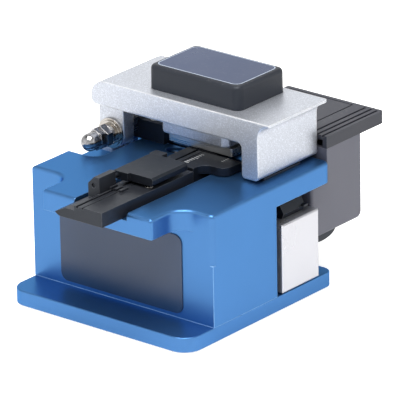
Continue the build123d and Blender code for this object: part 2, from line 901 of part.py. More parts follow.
# Spacer between the front ear and the hinge block
spacer_left = pin_x - spacer_half_width
spacer_right = pin_x + spacer_half_width
spacer_bottom = ledge_top + touch_gap
spacer_top = pin_z + spacer_rise
with BuildPart() as hinge_spacer:
    with BuildSketch(front_plane(front_ear_far + touch_gap)) as spacer_outline:
        rectangle_between(spacer_left, spacer_bottom, spacer_right, spacer_top)
        fillet(spacer_outline.vertices(), spacer_corner_radius)
        with Locations((pin_x, pin_z)):
            Circle(pin_radius, mode=Mode.SUBTRACT)
    extrude(amount=-(block_front - front_ear_far - touch_gap))
hinge_spacer.part.label = "hinge_spacer"
export_step(hinge_spacer.part, "parts/hinge_spacer.step")

# Dome nut
dome_centre = front + dome_tip_from_front + dome_radius
with BuildPart() as dome_nut:
    with BuildSketch(front_plane(dome_centre)):
        with Locations((pin_x, pin_z)):
            Circle(dome_radius)
    extrude(amount=-(front + dome_neck_end - dome_centre))
    with Locations((pin_x, dome_centre, pin_z)):
        Sphere(dome_radius)
    with BuildSketch(front_plane(front + dome_neck_end)):
        with Locations((pin_x, pin_z)):
            RegularPolygon(dome_hex / 2, 6, major_radius=False, rotation=dome_hex_turn)
    extrude(amount=-(dome_nut_end - dome_neck_end))
    with BuildSketch(front_plane(front + dome_nut_end)):
        with Locations((pin_x, pin_z)):
            Circle(pin_radius)
    extrude(amount=dome_nut_end - pin_front, mode=Mode.SUBTRACT)
dome_nut.part.label = "dome_nut"
export_step(dome_nut.part, "parts/dome_nut.step")

# Lock nut
with BuildPart() as lock_nut:
    with BuildSketch(front_plane(front + dome_nut_end)):
        with Locations((pin_x, pin_z)):
            RegularPolygon(lock_nut_hex / 2, 6, major_radius=False, rotation=lock_nut_turn)
            Circle(pin_radius, mode=Mode.SUBTRACT)
    extrude(amount=-(lock_nut_end - dome_nut_end))
lock_nut.part.label = "lock_nut"
export_step(lock_nut.part, "parts/lock_nut.step")

# Collar
with BuildPart() as hinge_collar:
    with BuildSketch(front_plane(front + lock_nut_end)):
        with Locations((pin_x, pin_z)):
            Circle(collar_radius)
            Circle(pin_radius, mode=Mode.SUBTRACT)
    extrude(amount=-(collar_end - lock_nut_end))
hinge_collar.part.label = "hinge_collar"
export_step(hinge_collar.part, "parts/hinge_collar.step")

# Small and large washers
with BuildPart() as small_washer:
    with BuildSketch(front_plane(front + collar_end)):
        with Locations((pin_x, pin_z)):
            Circle(small_washer_radius)
            Circle(pin_radius, mode=Mode.SUBTRACT)
    extrude(amount=-(small_washer_end - collar_end))
small_washer.part.label = "small_washer"
export_step(small_washer.part, "parts/small_washer.step")

with BuildPart() as large_washer:
    with BuildSketch(front_plane(front + small_washer_end)):
        with Locations((pin_x, pin_z)):
            Circle(washer_radius)
            Circle(pin_radius, mode=Mode.SUBTRACT)
    extrude(amount=-(washer_end - small_washer_end))
large_washer.part.label = "large_washer"
export_step(large_washer.part, "parts/large_washer.step")

# Arm
push_pad_left = left + push_pad_from_left
push_pad_x = push_pad_left + push_pad_width / 2
push_pad_y = front + push_pad_from_front + push_pad_depth / 2
push_pad_bottom = arm_top - push_pad_seat
cove_bottom = arm_top - cove_height
guide_points = [(fibre_x - guide_spread / 2, blade_y), (fibre_x + guide_spread / 2, blade_y)]
clamp_screw_y = front + clamp_screw_from_front
with BuildPart() as arm:
    with BuildSketch(front_plane(arm_near)) as arm_profile:
        with BuildLine():
            Polyline(
                (leg_right, cove_bottom), (leg_right, leg_bottom), (leg_left, leg_bottom),
                (leg_left, arm_underside), (arm_left, arm_underside), (arm_left, arm_top),
                (arm_lip, arm_top), (arm_lip, cove_bottom + arm_lip - leg_right),
            )
            CenterArc((arm_lip, cove_bottom), arm_lip - leg_right, 90, 90)
        make_face()
        fillet(corners(arm_profile, [(arm_left, arm_top)]), arm_end_radius)
        fillet(corners(arm_profile, [(arm_left, arm_underside)]), arm_lower_radius)
        fillet(corners(arm_profile, [(leg_left, arm_underside)]), leg_root_radius)
        fillet(corners(arm_profile, [(leg_left, leg_bottom), (leg_right, leg_bottom)]), leg_corner_radius)
    extrude(amount=-arm_depth)
    rear_lip_edges = arm.edges().filter_by(Axis.Z).sort_by_distance((arm_lip, arm_far, arm_top))
    fillet(rear_lip_edges[0], lip_plan_radius)
    for ear_near in (front_ear_near, rear_ear_near):
        with BuildSketch(front_plane(ear_near)) as ear_outline:
            rectangle_between(ear_left, pin_z - ear_heel_drop, pin_x, arm_underside + arm_lower_radius)
            fillet(corners(ear_outline, [(ear_left, pin_z - ear_heel_drop)]), ear_heel_radius)
            rectangle_between(pin_x, pin_z, ear_right, arm_underside + arm_lower_radius)
            with Locations((pin_x, pin_z)):
                Circle(ear_radius)
        extrude(amount=-ear_thickness)
    with BuildSketch(front_plane(arm_near)):
        with Locations((pin_x, pin_z)):
            Circle(bush_radius)
    extrude(amount=-arm_depth, mode=Mode.SUBTRACT)
    with BuildSketch(Plane.XY.offset(push_pad_bottom)):
        with Locations((push_pad_x, push_pad_y)):
            RectangleRounded(push_pad_width, push_pad_depth, push_pad_radius)
    extrude(amount=push_pad_seat, mode=Mode.SUBTRACT)
    # Bores above the clamp block for the anvil, the guide heads and the block's screws
    with BuildSketch(Plane.XY.offset(arm_underside)):
        with Locations((fibre_x, blade_y)):
            Circle(anvil_bore_radius)
    extrude(amount=anvil_bore_depth, mode=Mode.SUBTRACT)
    with BuildSketch(Plane.XY.offset(arm_underside)):
        with Locations(*guide_points):
            Circle(guide_head_radius + touch_gap)
    extrude(amount=guide_head_height + carrier_travel + 2 * touch_gap, mode=Mode.SUBTRACT)
    with BuildSketch(Plane.XY.offset(arm_underside)):
        with Locations((clamp_x, clamp_screw_y)):
            with GridLocations(clamp_screw_spread, 0, 2, 1):
                Circle(screw_radius)
    extrude(amount=screw_length, mode=Mode.SUBTRACT)
arm.part.label = "arm"
export_step(arm.part, "parts/arm.step")

# Flanged bushes in the ears
with BuildPart() as ear_bushes:
    for ear_near in (front_ear_near, rear_ear_near):
        with BuildSketch(front_plane(ear_near)):
            with Locations((pin_x, pin_z)):
                Circle(bush_radius)
                Circle(pin_radius + running_clearance, mode=Mode.SUBTRACT)
        extrude(amount=-ear_thickness)
ear_bushes.part.label = "ear_bushes"
export_step(ear_bushes.part, "parts/ear_bushes.step")

# Push pad
label_recess_width = push_pad_width - 2 * push_pad_rim
label_recess_depth = push_pad_depth - 2 * push_pad_rim
push_pad_top = arm_top + push_pad_height
with BuildPart() as push_pad:
    with BuildSketch(Plane.XY.offset(push_pad_bottom)):
        with Locations((push_pad_x, push_pad_y)):
            RectangleRounded(push_pad_width, push_pad_depth, push_pad_radius)
    extrude(amount=push_pad_seat)
    with BuildSketch(Plane.XY.offset(arm_top)):
        with Locations((push_pad_x, push_pad_y)):
            RectangleRounded(push_pad_width, push_pad_depth, push_pad_radius)
    extrude(amount=push_pad_height, taper=push_pad_draft)
    fillet(push_pad.faces().sort_by(Axis.Z)[-1].edges(), push_pad_edge_radius)
    with BuildSketch(Plane.XY.offset(push_pad_top - push_label_depth)):
        with Locations((push_pad_x, push_pad_y)):
            RectangleRounded(label_recess_width, label_recess_depth, push_label_radius)
    extrude(amount=push_label_depth, mode=Mode.SUBTRACT)
push_pad.part.label = "push_pad"
export_step(push_pad.part, "parts/push_pad.step")

# Label plate let into the push pad
with BuildPart() as push_label:
    with BuildSketch(Plane.XY.offset(push_pad_top - push_label_depth)):
        with Locations((push_pad_x, push_pad_y)):
            RectangleRounded(label_recess_width, label_recess_depth, push_label_radius)
    extrude(amount=push_label_depth - pad_squeeze_gap)
push_label.part.label = "push_pad_label_plate"
export_step(push_label.part, "parts/push_pad_label_plate.step")

# Clamp block below the arm
guide_bore_radius = guide_radius + running_clearance
spring_pocket_radius = clamp_spring_radius + wire_size / 2 + touch_gap
spring_pocket_depth = clamp_block_height - screw_head_height / 2
with BuildPart() as clamp_block:
    with BuildSketch(front_plane(clamp_near)) as clamp_outline:
        rectangle_between(clamp_left, clamp_bottom, clamp_right, clamp_top)
        fillet(corners(clamp_outline, [(clamp_left, clamp_bottom)]), clamp_block_radius)
    extrude(amount=-clamp_block_depth)
    chamfer(clamp_block.faces().sort_by(Axis.X)[-1].edges().filter_by(Axis.Z), clamp_block_bevel)
    with BuildSketch(Plane.XY.offset(clamp_bottom)):
        with Locations((fibre_x, blade_y)):
            Circle(anvil_radius + running_clearance)
        with Locations(*guide_points):
            Circle(guide_bore_radius)
        with Locations((clamp_x, clamp_screw_y)):
            with GridLocations(clamp_screw_spread, 0, 2, 1):
                Circle(screw_radius)
    extrude(amount=clamp_block_height, mode=Mode.SUBTRACT)
    with BuildSketch(Plane.XY.offset(clamp_bottom)):
        with Locations(*guide_points):
            Circle(spring_pocket_radius)
    extrude(amount=spring_pocket_depth, mode=Mode.SUBTRACT)
    with BuildSketch(Plane.XY.offset(clamp_bottom)):
        with Locations((clamp_x, clamp_screw_y)):
            with GridLocations(clamp_screw_spread, 0, 2, 1):
                Circle(screw_head_radius + bore_clearance)
    extrude(amount=screw_head_height, mode=Mode.SUBTRACT)
clamp_block.part.label = "clamp_block"
export_step(clamp_block.part, "parts/clamp_block.step")

# Clamp block screws
with BuildPart() as clamp_screws:
    with BuildSketch(Plane.XY.offset(clamp_bottom)):
        with Locations((clamp_x, clamp_screw_y)):
            with GridLocations(clamp_screw_spread, 0, 2, 1):
                Circle(screw_head_radius)
    extrude(amount=screw_head_height)
    with BuildSketch(Plane.XY.offset(clamp_bottom + screw_head_height)):
        with Locations((clamp_x, clamp_screw_y)):
            with GridLocations(clamp_screw_spread, 0, 2, 1):
                Circle(screw_radius)
    extrude(amount=clamp_block_height - screw_head_height + screw_length - touch_gap)
    with BuildSketch(Plane.XY.offset(clamp_bottom)):
        with Locations((clamp_x, clamp_screw_y)):
            with GridLocations(clamp_screw_spread, 0, 2, 1):
                RegularPolygon(screw_hex / 2, 6, major_radius=False)
    extrude(amount=screw_hex_depth, mode=Mode.SUBTRACT)
clamp_screws.part.label = "clamp_screws"
export_step(clamp_screws.part, "parts/clamp_screws.step")

# Floating clamp carrier
upper_pad_pocket = upper_pad_height - carrier_above_fibre + pad_squeeze_gap
pad_offset = pad_from_blade + pad_across / 2
with BuildPart() as clamp_carrier:
    with BuildSketch(Plane.XY.offset(carrier_bottom)) as carrier_outline:
        rectangle_between(carrier_left, carrier_near, carrier_right, carrier_far)
        fillet(carrier_outline.vertices(), carrier_corner_radius)
    extrude(amount=carrier_height)
    with BuildSketch(Plane.XY.offset(carrier_bottom)):
        with Locations((fibre_x, blade_y)):
            Rectangle(carrier_window_width, carrier_window_depth)
    extrude(amount=carrier_height, mode=Mode.SUBTRACT)
    with BuildSketch(Plane.XY.offset(carrier_bottom)):
        with Locations((fibre_x, blade_y - pad_offset), (fibre_x, blade_y + pad_offset)):
            Rectangle(pad_length, pad_across)
    extrude(amount=upper_pad_pocket, mode=Mode.SUBTRACT)
    with BuildSketch(Plane.XY.offset(carrier_top)):
        with Locations(*guide_points):
            Circle(guide_radius)
    extrude(amount=-guide_depth, mode=Mode.SUBTRACT)
    with BuildSketch(Plane.XY.offset(carrier_bottom)):
        with Locations(*magnet_points):
            Circle(stud_radius)
    extrude(amount=guide_depth, mode=Mode.SUBTRACT)
clamp_carrier.part.label = "clamp_carrier"
export_step(clamp_carrier.part, "parts/clamp_carrier.step")

# Guide screws that the carrier hangs from
guide_head_bottom = clamp_top + bore_clearance
with BuildPart() as guide_screws:
    with BuildSketch(Plane.XY.offset(carrier_top - guide_depth)):
        with Locations(*guide_points):
            Circle(guide_radius)
    extrude(amount=guide_head_bottom - carrier_top + guide_depth)
    with BuildSketch(Plane.XY.offset(guide_head_bottom)):
        with Locations(*guide_points):
            Circle(guide_head_radius)
    extrude(amount=guide_head_height)
guide_screws.part.label = "guide_screws"
export_step(guide_screws.part, "parts/guide_screws.step")

# Round-ended steel studs that meet the closing magnets
stud_bottom = fibre_z - stud_drop
with BuildPart() as carrier_studs:
    for stud_x, stud_y in magnet_points:
        with Locations((stud_x, stud_y, stud_bottom + stud_radius)):
            Sphere(stud_radius, arc_size1=-90, arc_size2=0)
    with BuildSketch(Plane.XY.offset(stud_bottom + stud_radius)):
        with Locations(*magnet_points):
            Circle(stud_radius)
    extrude(amount=carrier_bottom + guide_depth - stud_bottom - stud_radius)
carrier_studs.part.label = "carrier_studs"
export_step(carrier_studs.part, "parts/carrier_studs.step")

# Rubber pads and their seats, one set in front of the blade and one behind it
seat_top = fibre_z - seat_recess
for place, side in (("front", -1), ("rear", 1)):
    pad_y = blade_y + side * pad_offset
    seat_y = blade_y + side * (blade_slot_width / 2 + seat_across / 2)
    with BuildPart() as pad_seat:
        with BuildSketch(Plane.XY.offset(deck_height)):
            with Locations((fibre_x, seat_y)):
                Rectangle(seat_width, seat_across)
        extrude(amount=seat_top - deck_height)
        with BuildSketch(Plane.XY.offset(seat_top)):
            with Locations((fibre_x, pad_y)):
                Rectangle(pad_length, pad_across)
        extrude(amount=-seat_height, mode=Mode.SUBTRACT)
        bevel_edges = pad_seat.faces().sort_by(Axis.Z)[-1].outer_wire().edges().filter_by(Axis.Y)
        chamfer(bevel_edges, seat_height)
    pad_seat.part.label = f"{place}_pad_seat"
    export_step(pad_seat.part, f"parts/{place}_pad_seat.step")

    with BuildPart() as lower_pad:
        with BuildSketch(Plane.XY.offset(seat_top - seat_height)):
            with Locations((fibre_x, pad_y)):
                Rectangle(pad_length, pad_across)
        extrude(amount=seat_height + seat_recess)
    lower_pad.part.label = f"{place}_lower_pad"
    export_step(lower_pad.part, f"parts/{place}_lower_pad.step")

    with BuildPart() as upper_pad:
        with BuildSketch(Plane.XY.offset(fibre_z + pad_squeeze_gap)):
            with Locations((fibre_x, pad_y)):
                Rectangle(pad_length, pad_across)
        extrude(amount=upper_pad_pocket + carrier_above_fibre - pad_squeeze_gap)
    upper_pad.part.label = f"{place}_upper_pad"
    export_step(upper_pad.part, f"parts/{place}_upper_pad.step")

# Anvil
anvil_bottom = fibre_z + anvil_above_fibre
anvil_shoulder = anvil_bottom + anvil_tip_height
anvil_top = arm_underside + anvil_bore_depth - touch_gap
with BuildPart() as anvil:
    with BuildSketch(Plane.XY.offset(anvil_bottom)):
        with Locations((fibre_x, blade_y)):
            Rectangle(anvil_tip_width, anvil_tip_depth)
            Rectangle(anvil_tip_width, anvil_slot, mode=Mode.SUBTRACT)
    extrude(amount=anvil_tip_height / 2)
    with BuildSketch(Plane.XY.offset(anvil_bottom + anvil_tip_height / 2)):
        with Locations((fibre_x, blade_y)):
            Rectangle(anvil_tip_width, anvil_tip_depth)
    extrude(amount=anvil_tip_height / 2)
    with BuildSketch(Plane.XY.offset(anvil_shoulder)):
        with Locations((fibre_x, blade_y)):
            Circle(anvil_radius)
    extrude(amount=anvil_top - anvil_shoulder)
    with BuildSketch(Plane.XY.offset(anvil_top - anvil_collar_height)):
        with Locations((fibre_x, blade_y)):
            Circle(anvil_collar_radius)
    extrude(amount=anvil_collar_height)
anvil.part.label = "anvil"
export_step(anvil.part, "parts/anvil.step")

# Clamp springs around the guide screws
clamp_spring_length = clamp_bottom + spring_pocket_depth - carrier_top - 2 * wire_size
with BuildPart() as clamp_springs:
    for guide_x, guide_y in guide_points:
        with BuildLine() as clamp_coil:
            Helix(
                clamp_spring_length / clamp_spring_turns, clamp_spring_length, clamp_spring_radius,
                center=(guide_x, guide_y, carrier_top + wire_size),
            )
        with BuildSketch(Plane(origin=clamp_coil.line @ 0, z_dir=clamp_coil.line % 0)):
            Rectangle(wire_size, wire_size)
        sweep(path=clamp_coil.line, is_frenet=True)
clamp_springs.part.label = "clamp_springs"
export_step(clamp_springs.part, "parts/clamp_springs.step")

# Anvil return spring
anvil_spring_length = anvil_top - anvil_collar_height - arm_underside - 2 * wire_size
with BuildPart() as anvil_spring:
    with BuildLine() as anvil_coil:
        Helix(
            anvil_spring_length / anvil_spring_turns, anvil_spring_length, anvil_spring_radius,
            center=(fibre_x, blade_y, arm_underside + wire_size),
        )
    with BuildSketch(Plane(origin=anvil_coil.line @ 0, z_dir=anvil_coil.line % 0)):
        Rectangle(wire_size, wire_size)
    sweep(path=anvil_coil.line, is_frenet=True)
anvil_spring.part.label = "anvil_spring"
export_step(anvil_spring.part, "parts/anvil_spring.step")

# Fibre adapter
wing_top = channel_floor + adapter_wing_thickness
step_top = channel_floor + adapter_step_height
groove_left = fibre_x - groove_spread / 2
groove_right = fibre_x + groove_spread / 2
adapter_length = adapter_far - adapter_near
with BuildPart() as fibre_adapter:
    with BuildSketch(front_plane(adapter_near)) as adapter_section:
        with BuildLine():
            Polyline(
                (adapter_left + adapter_tip_undercut, channel_floor), (adapter_right, channel_floor),
                (adapter_right, adapter_top),
                (adapter_left + adapter_step_inner, adapter_top), (adapter_left + adapter_step_inner, step_top),
                (adapter_left + adapter_ramp_inner, step_top), (adapter_left, wing_top),
                (adapter_left, channel_floor + adapter_tip_rise), close=True,
            )
        make_face()
        for groove_x, groove_width in ((groove_left, wide_groove), (groove_right, narrow_groove)):
            rectangle_between(
                groove_x - groove_width / 2, adapter_top - groove_depth,
                groove_x + groove_width / 2, adapter_top + groove_depth, mode=Mode.SUBTRACT,
            )
    extrude(amount=-adapter_length)
    # Guide posts
    for post_offset in post_offsets:
        post_x = fibre_x + post_offset
        block_between(
            post_x - post_width / 2, post_x + post_width / 2,
            front + post_front, front + post_front + post_length, step_top, adapter_top + post_height,
        )
    # Hinge lugs of the lid
    with BuildSketch(front_plane(front + front_lug_front)) as lug_outline:
        rectangle_between(lug_left, channel_floor, lug_left + lug_width, adapter_top + lug_height)
        chamfer(corners(lug_outline, [(lug_left, adapter_top + lug_height)]), lug_bevel)
    extrude(amount=-(front_lug_rear - front_lug_front))
    block_between(
        lug_left, lug_left + lug_width, lid_far + touch_gap, front + rear_lug_rear,
        channel_floor, adapter_top + rear_lug_height,
    )
    with BuildSketch(front_plane(front + front_lug_front)):
        with Locations((lid_pin_x, lid_pin_z)):
            Circle(lid_pin_radius)
    extrude(amount=-(rear_lug_rear - front_lug_front), mode=Mode.SUBTRACT)
    # Magnet seat
    with BuildSketch(Plane.XY.offset(adapter_top)):
        with Locations((left + lid_magnet_from_left, front + lid_magnet_from_front)):
            Circle(lid_magnet_radius)
    extrude(amount=-2 * lid_magnet_radius, mode=Mode.SUBTRACT)
fibre_adapter.part.label = "fibre_adapter"
export_step(fibre_adapter.part, "parts/fibre_adapter.step")

# Magnet in the adapter
with BuildPart() as adapter_magnet:
    with BuildSketch(Plane.XY.offset(adapter_top + touch_gap / 2)):
        with Locations((left + lid_magnet_from_left, front + lid_magnet_from_front)):
            Circle(lid_magnet_radius)
    extrude(amount=-2 * lid_magnet_radius - touch_gap / 2)
adapter_magnet.part.label = "adapter_magnet"
export_step(adapter_magnet.part, "parts/adapter_magnet.step")

# Lid hinge pin
with BuildPart() as lid_pin:
    with BuildSketch(front_plane(front + front_lug_front + touch_gap)):
        with Locations((lid_pin_x, lid_pin_z)):
            Circle(lid_pin_radius)
    extrude(amount=-(rear_lug_rear - front_lug_front - touch_gap))
lid_pin.part.label = "lid_pin"
export_step(lid_pin.part, "parts/lid_pin.step")

# Adapter lid
with BuildPart() as adapter_lid:
    with BuildSketch(front_plane(lid_near)) as lid_section:
        rectangle_between(lid_left, lid_bottom, lid_right, lid_top)
        chamfer(corners(lid_section, [(lid_right, lid_top), (lid_right, lid_bottom)]), lid_bevel)
        fillet(corners(lid_section, [(lid_left, lid_top), (lid_left, lid_bottom)]), lid_bevel)
    extrude(amount=-lid_length)
    # The front edge steps back beyond the knuckle
    block_between(
        lid_right - lid_step_length, lid_right, lid_near, lid_near + lid_step_depth,
        lid_bottom, lid_top, mode=Mode.SUBTRACT,
    )
    with BuildSketch(front_plane(lid_near)):
        with Locations((lid_pin_x, lid_pin_z)):
            Circle(lid_pin_radius + running_clearance)
    extrude(amount=-lid_length, mode=Mode.SUBTRACT)
    with BuildSketch(Plane.XY.offset(lid_bottom)):
        with Locations((left + lid_magnet_from_left, front + lid_magnet_from_front)):
            Circle(lid_magnet_radius)
    extrude(amount=lid_magnet_radius, mode=Mode.SUBTRACT)
adapter_lid.part.label = "adapter_lid"
export_step(adapter_lid.part, "parts/adapter_lid.step")

# Magnet in the lid
with BuildPart() as lid_magnet:
    with BuildSketch(Plane.XY.offset(lid_bottom - touch_gap / 2)):
        with Locations((left + lid_magnet_from_left, front + lid_magnet_from_front)):
            Circle(lid_magnet_radius)
    extrude(amount=lid_magnet_radius + touch_gap / 2)
lid_magnet.part.label = "lid_magnet"
export_step(lid_magnet.part, "parts/lid_magnet.step")

# Rubber pad under the lid
with BuildPart() as lid_pad:
    with BuildSketch(Plane.XY.offset(adapter_top + pad_squeeze_gap)):
        with Locations((fibre_x, lid_near + lid_length / 2)):
            Rectangle(lid_pad_width, lid_pad_length)
    extrude(amount=lid_above_adapter - pad_squeeze_gap)
lid_pad.part.label = "lid_pad"
export_step(lid_pad.part, "parts/lid_pad.step")

# Rear guide plate with its flared end
guide_left = left + guide_from_left
guide_right = left + guide_narrow_right
guide_wide = left + guide_wide_right
guide_near = front + guide_front
guide_far = front + guide_plate_rear
guide_top = fibre_z + guide_above_fibre
flare_near = front + guide_flare_front
flare_bottom = deck_height + guide_flare_lift
with BuildPart() as guide_plate:
    block_between(guide_left, guide_right, guide_near, guide_far, channel_floor, guide_top)
    with BuildSketch(Plane.XY.offset(flare_bottom)) as flare_outline:
        rectangle_between(guide_left, guide_near, guide_right, guide_far)
        rectangle_between(guide_right, flare_near, guide_wide, guide_far)
        fillet(
            corners(flare_outline, [(guide_right, flare_near), (guide_wide, flare_near)]), guide_flare_radius,
        )
    extrude(amount=guide_top - flare_bottom)
    for groove_x, groove_width in ((groove_left, wide_groove), (groove_right, narrow_groove)):
        block_between(
            groove_x - groove_width / 2, groove_x + groove_width / 2, guide_near, guide_far,
            guide_top - groove_depth, guide_top, mode=Mode.SUBTRACT,
        )
guide_plate.part.label = "guide_plate"
export_step(guide_plate.part, "parts/guide_plate.step")

# Scrap box: a tray behind the body, with a rounded chin that reaches in under the deck
chin_near = front + box_chin_front
chin_top = deck_underside - cheek_deck_gap
box_width = box_right - box_left
runner_top = deck_height + bracket_thickness
with BuildPart() as scrap_box:
    with BuildSketch(Plane.YZ.offset(box_x_left)) as box_profile:
        rectangle_between(box_near, box_floor, box_far, box_top)
        rectangle_between(chin_near, box_floor, box_near, chin_top)
        fillet(corners(box_profile, [(box_far, box_floor)]), box_rear_radius)
        fillet(corners(box_profile, [(chin_near, box_floor)]), box_rear_radius)
    extrude(amount=box_width)
    fillet(scrap_box.edges().filter_by(Axis.Z).group_by(Axis.Y)[0], box_chin_corner)
    with BuildSketch(Plane.YZ.offset(box_x_left + box_wall)) as box_inside:
        rectangle_between(box_near + box_wall, box_floor + box_wall, box_far - box_wall, box_top)
        rectangle_between(
            chin_near + box_wall, box_floor + box_wall, box_near + box_wall, chin_top - box_wall,
        )
    extrude(amount=box_width - 2 * box_wall, mode=Mode.SUBTRACT)
    # Slots that the runners pass through
    for runner_from_left in (runner_left, runner_right):
        block_between(
            left + runner_from_left - touch_gap, left + runner_from_left + runner_width + touch_gap,
            box_near - box_wall, box_near + 2 * box_wall, deck_height - touch_gap, runner_top + touch_gap,
            mode=Mode.SUBTRACT,
        )
    # Gate in the front wall for the fibre end
    block_between(
        fibre_x - box_gate_width / 2, fibre_x + box_gate_width / 2, box_near - box_wall, box_near + 2 * box_wall,
        box_top - box_gate_depth, box_top, mode=Mode.SUBTRACT,
    )
    # Notches that the lid's rails leave through
    for rail_low in (box_x_left + box_wall, box_x_right - box_wall - 2 * lid_rail_gap - lid_rail_width):
        block_between(
            rail_low, rail_low + lid_rail_width + 2 * lid_rail_gap, box_far - 2 * box_wall, box_far + box_wall,
            box_top - lid_rail_depth - lid_rail_gap, box_top, mode=Mode.SUBTRACT,
        )
scrap_box.part.label = "scrap_box"
export_step(scrap_box.part, "parts/scrap_box.step")

# Rounded rubber bumper below the box
with BuildPart() as box_bumper:
    with BuildSketch(Plane.YZ.offset(box_x_left + bumper_inset)):
        with Locations((front + bumper_centre, box_floor)):
            Ellipse(bumper_depth / 2, bumper_drop)
            Rectangle(bumper_depth, bumper_drop, align=(Align.CENTER, Align.MIN), mode=Mode.SUBTRACT)
    extrude(amount=box_width - 2 * bumper_inset)
box_bumper.part.label = "box_bumper"
export_step(box_bumper.part, "parts/box_bumper.step")

# Bracket on the deck that the scrap box slides onto
plate_near = front + bracket_front
with BuildPart() as box_bracket:
    with BuildSketch(Plane.XY.offset(deck_height)):
        rectangle_between(plate_left, plate_near, plate_right, deck_rear)
        for runner_from_left in (runner_left, runner_right):
            rectangle_between(
                left + runner_from_left, deck_rear,
                left + runner_from_left + runner_width, deck_rear + runner_length,
            )
        with Locations((box_screw_x, front + box_screw_from_front)):
            with GridLocations(box_screw_spread, 0, 2, 1):
                Circle(screw_radius, mode=Mode.SUBTRACT)
    extrude(amount=bracket_thickness)
box_bracket.part.label = "box_bracket"
export_step(box_bracket.part, "parts/box_bracket.step")

# Bracket screws with low heads
with BuildPart() as box_screws:
    with BuildSketch(Plane.XY.offset(runner_top)):
        with Locations((box_screw_x, front + box_screw_from_front)):
            with GridLocations(box_screw_spread, 0, 2, 1):
                Circle(screw_head_radius)
    extrude(amount=screw_head_height / 2)
    with BuildSketch(Plane.XY.offset(runner_top)):
        with Locations((box_screw_x, front + box_screw_from_front)):
            with GridLocations(box_screw_spread, 0, 2, 1):
                Circle(screw_radius)
    extrude(amount=-bracket_thickness - screw_length + touch_gap)
box_screws.part.label = "box_screws"
export_step(box_screws.part, "parts/box_screws.step")

# Scrap box lid
box_lid_top = box_top + box_lid_thickness
frame_x = left + frame_groove_from_left
frame_y = box_lid_far - frame_groove_from_rear
with BuildPart() as box_lid:
    with BuildSketch(Plane.XY.offset(box_top)) as box_lid_outline:
        rectangle_between(box_x_left, box_lid_near, box_x_right, box_lid_far)
        fillet(
            corners(box_lid_outline, [(box_x_left, box_lid_far), (box_x_right, box_lid_far)]),
            box_lid_corner_radius,
        )
    extrude(amount=box_lid_thickness)
    # Hollow below the skin, open at the front for the fibre end
    block_between(
        box_x_left + box_wall, box_x_right - box_wall, box_lid_near - box_wall, front + box_lid_cavity_rear,
        box_top, box_lid_top - box_lid_skin, mode=Mode.SUBTRACT,
    )
    # Frame line and finger grooves in the top
    block_between(
        frame_x, frame_x + frame_groove_width, box_lid_near, frame_y,
        box_lid_top - frame_groove_depth, box_lid_top, mode=Mode.SUBTRACT,
    )
    block_between(
        box_x_left + box_wall, frame_x + frame_groove_width, frame_y - frame_groove_width, frame_y,
        box_lid_top - frame_groove_depth, box_lid_top, mode=Mode.SUBTRACT,
    )
    for groove_from_left in grip_groove_offsets:
        block_between(
            left + groove_from_left - grip_groove_width / 2, left + groove_from_left + grip_groove_width / 2,
            box_lid_near, box_lid_far - grip_groove_rear_gap,
            box_lid_top - grip_groove_depth, box_lid_top, mode=Mode.SUBTRACT,
        )
    # Rails that run inside the tray's side walls
    for rail_low in (box_x_left + box_wall + lid_rail_gap, box_x_right - box_wall - lid_rail_gap - lid_rail_width):
        block_between(
            rail_low, rail_low + lid_rail_width, front + lid_rail_front, front + lid_rail_rear,
            box_top - lid_rail_depth, box_lid_top - box_lid_skin,
        )
box_lid.part.label = "box_lid"
export_step(box_lid.part, "parts/box_lid.step")
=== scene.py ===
"""Bench fibre cleaver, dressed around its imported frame: finishes, printed marks, studio and camera."""
import logging
import math
from dataclasses import dataclass
from enum import Enum
from typing import Dict, Iterable, List, Sequence, Tuple

import bmesh
import bpy
from mathutils import Matrix, Vector


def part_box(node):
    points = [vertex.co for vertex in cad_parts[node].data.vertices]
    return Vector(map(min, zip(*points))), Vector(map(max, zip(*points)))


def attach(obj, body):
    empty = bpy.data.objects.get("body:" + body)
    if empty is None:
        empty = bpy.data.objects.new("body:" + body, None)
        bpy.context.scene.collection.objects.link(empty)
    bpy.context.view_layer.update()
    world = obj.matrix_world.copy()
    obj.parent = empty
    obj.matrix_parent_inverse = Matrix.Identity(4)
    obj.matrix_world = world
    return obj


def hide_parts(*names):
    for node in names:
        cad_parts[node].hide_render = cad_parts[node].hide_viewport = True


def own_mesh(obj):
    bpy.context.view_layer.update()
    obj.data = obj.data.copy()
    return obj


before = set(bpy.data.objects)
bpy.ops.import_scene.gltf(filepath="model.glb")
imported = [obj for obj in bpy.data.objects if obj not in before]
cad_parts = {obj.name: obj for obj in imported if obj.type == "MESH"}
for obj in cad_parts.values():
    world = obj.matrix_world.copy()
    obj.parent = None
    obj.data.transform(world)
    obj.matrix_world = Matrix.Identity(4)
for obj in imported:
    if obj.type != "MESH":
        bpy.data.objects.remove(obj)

LOG = logging.getLogger("cleaver")
MM = 0.001
NOISE_SHIFT = (0.3137, 0.2291, 0.1673)
CLOUDS_PER_METRE = 60.0
WEAR_PATCHES_PER_METRE = 260.0
SPECKS_PER_METRE = 900.0
DUST_COLOUR = (0.55, 0.54, 0.52, 1.0)
DUST_ROUGHENING = 0.4
SPARKLE_LIFT = 1.6
FADE_SHARE = 0.85
WHITE = (1.0, 1.0, 1.0, 1.0)
# A Mix node has sockets for each kind of data, so those for colours are picked by their place.
MIX_SHARE, MIX_FIRST, MIX_SECOND, MIX_COLOUR = 0, 6, 7, 2

Point = Tuple[float, float, float]
Colour = Tuple[float, float, float]
Socket = bpy.types.NodeSocket
FLOAT = "NodeSocketFloat"
VECTOR = "NodeSocketVector"


# ---------------------------------------------------------------- shader graphs


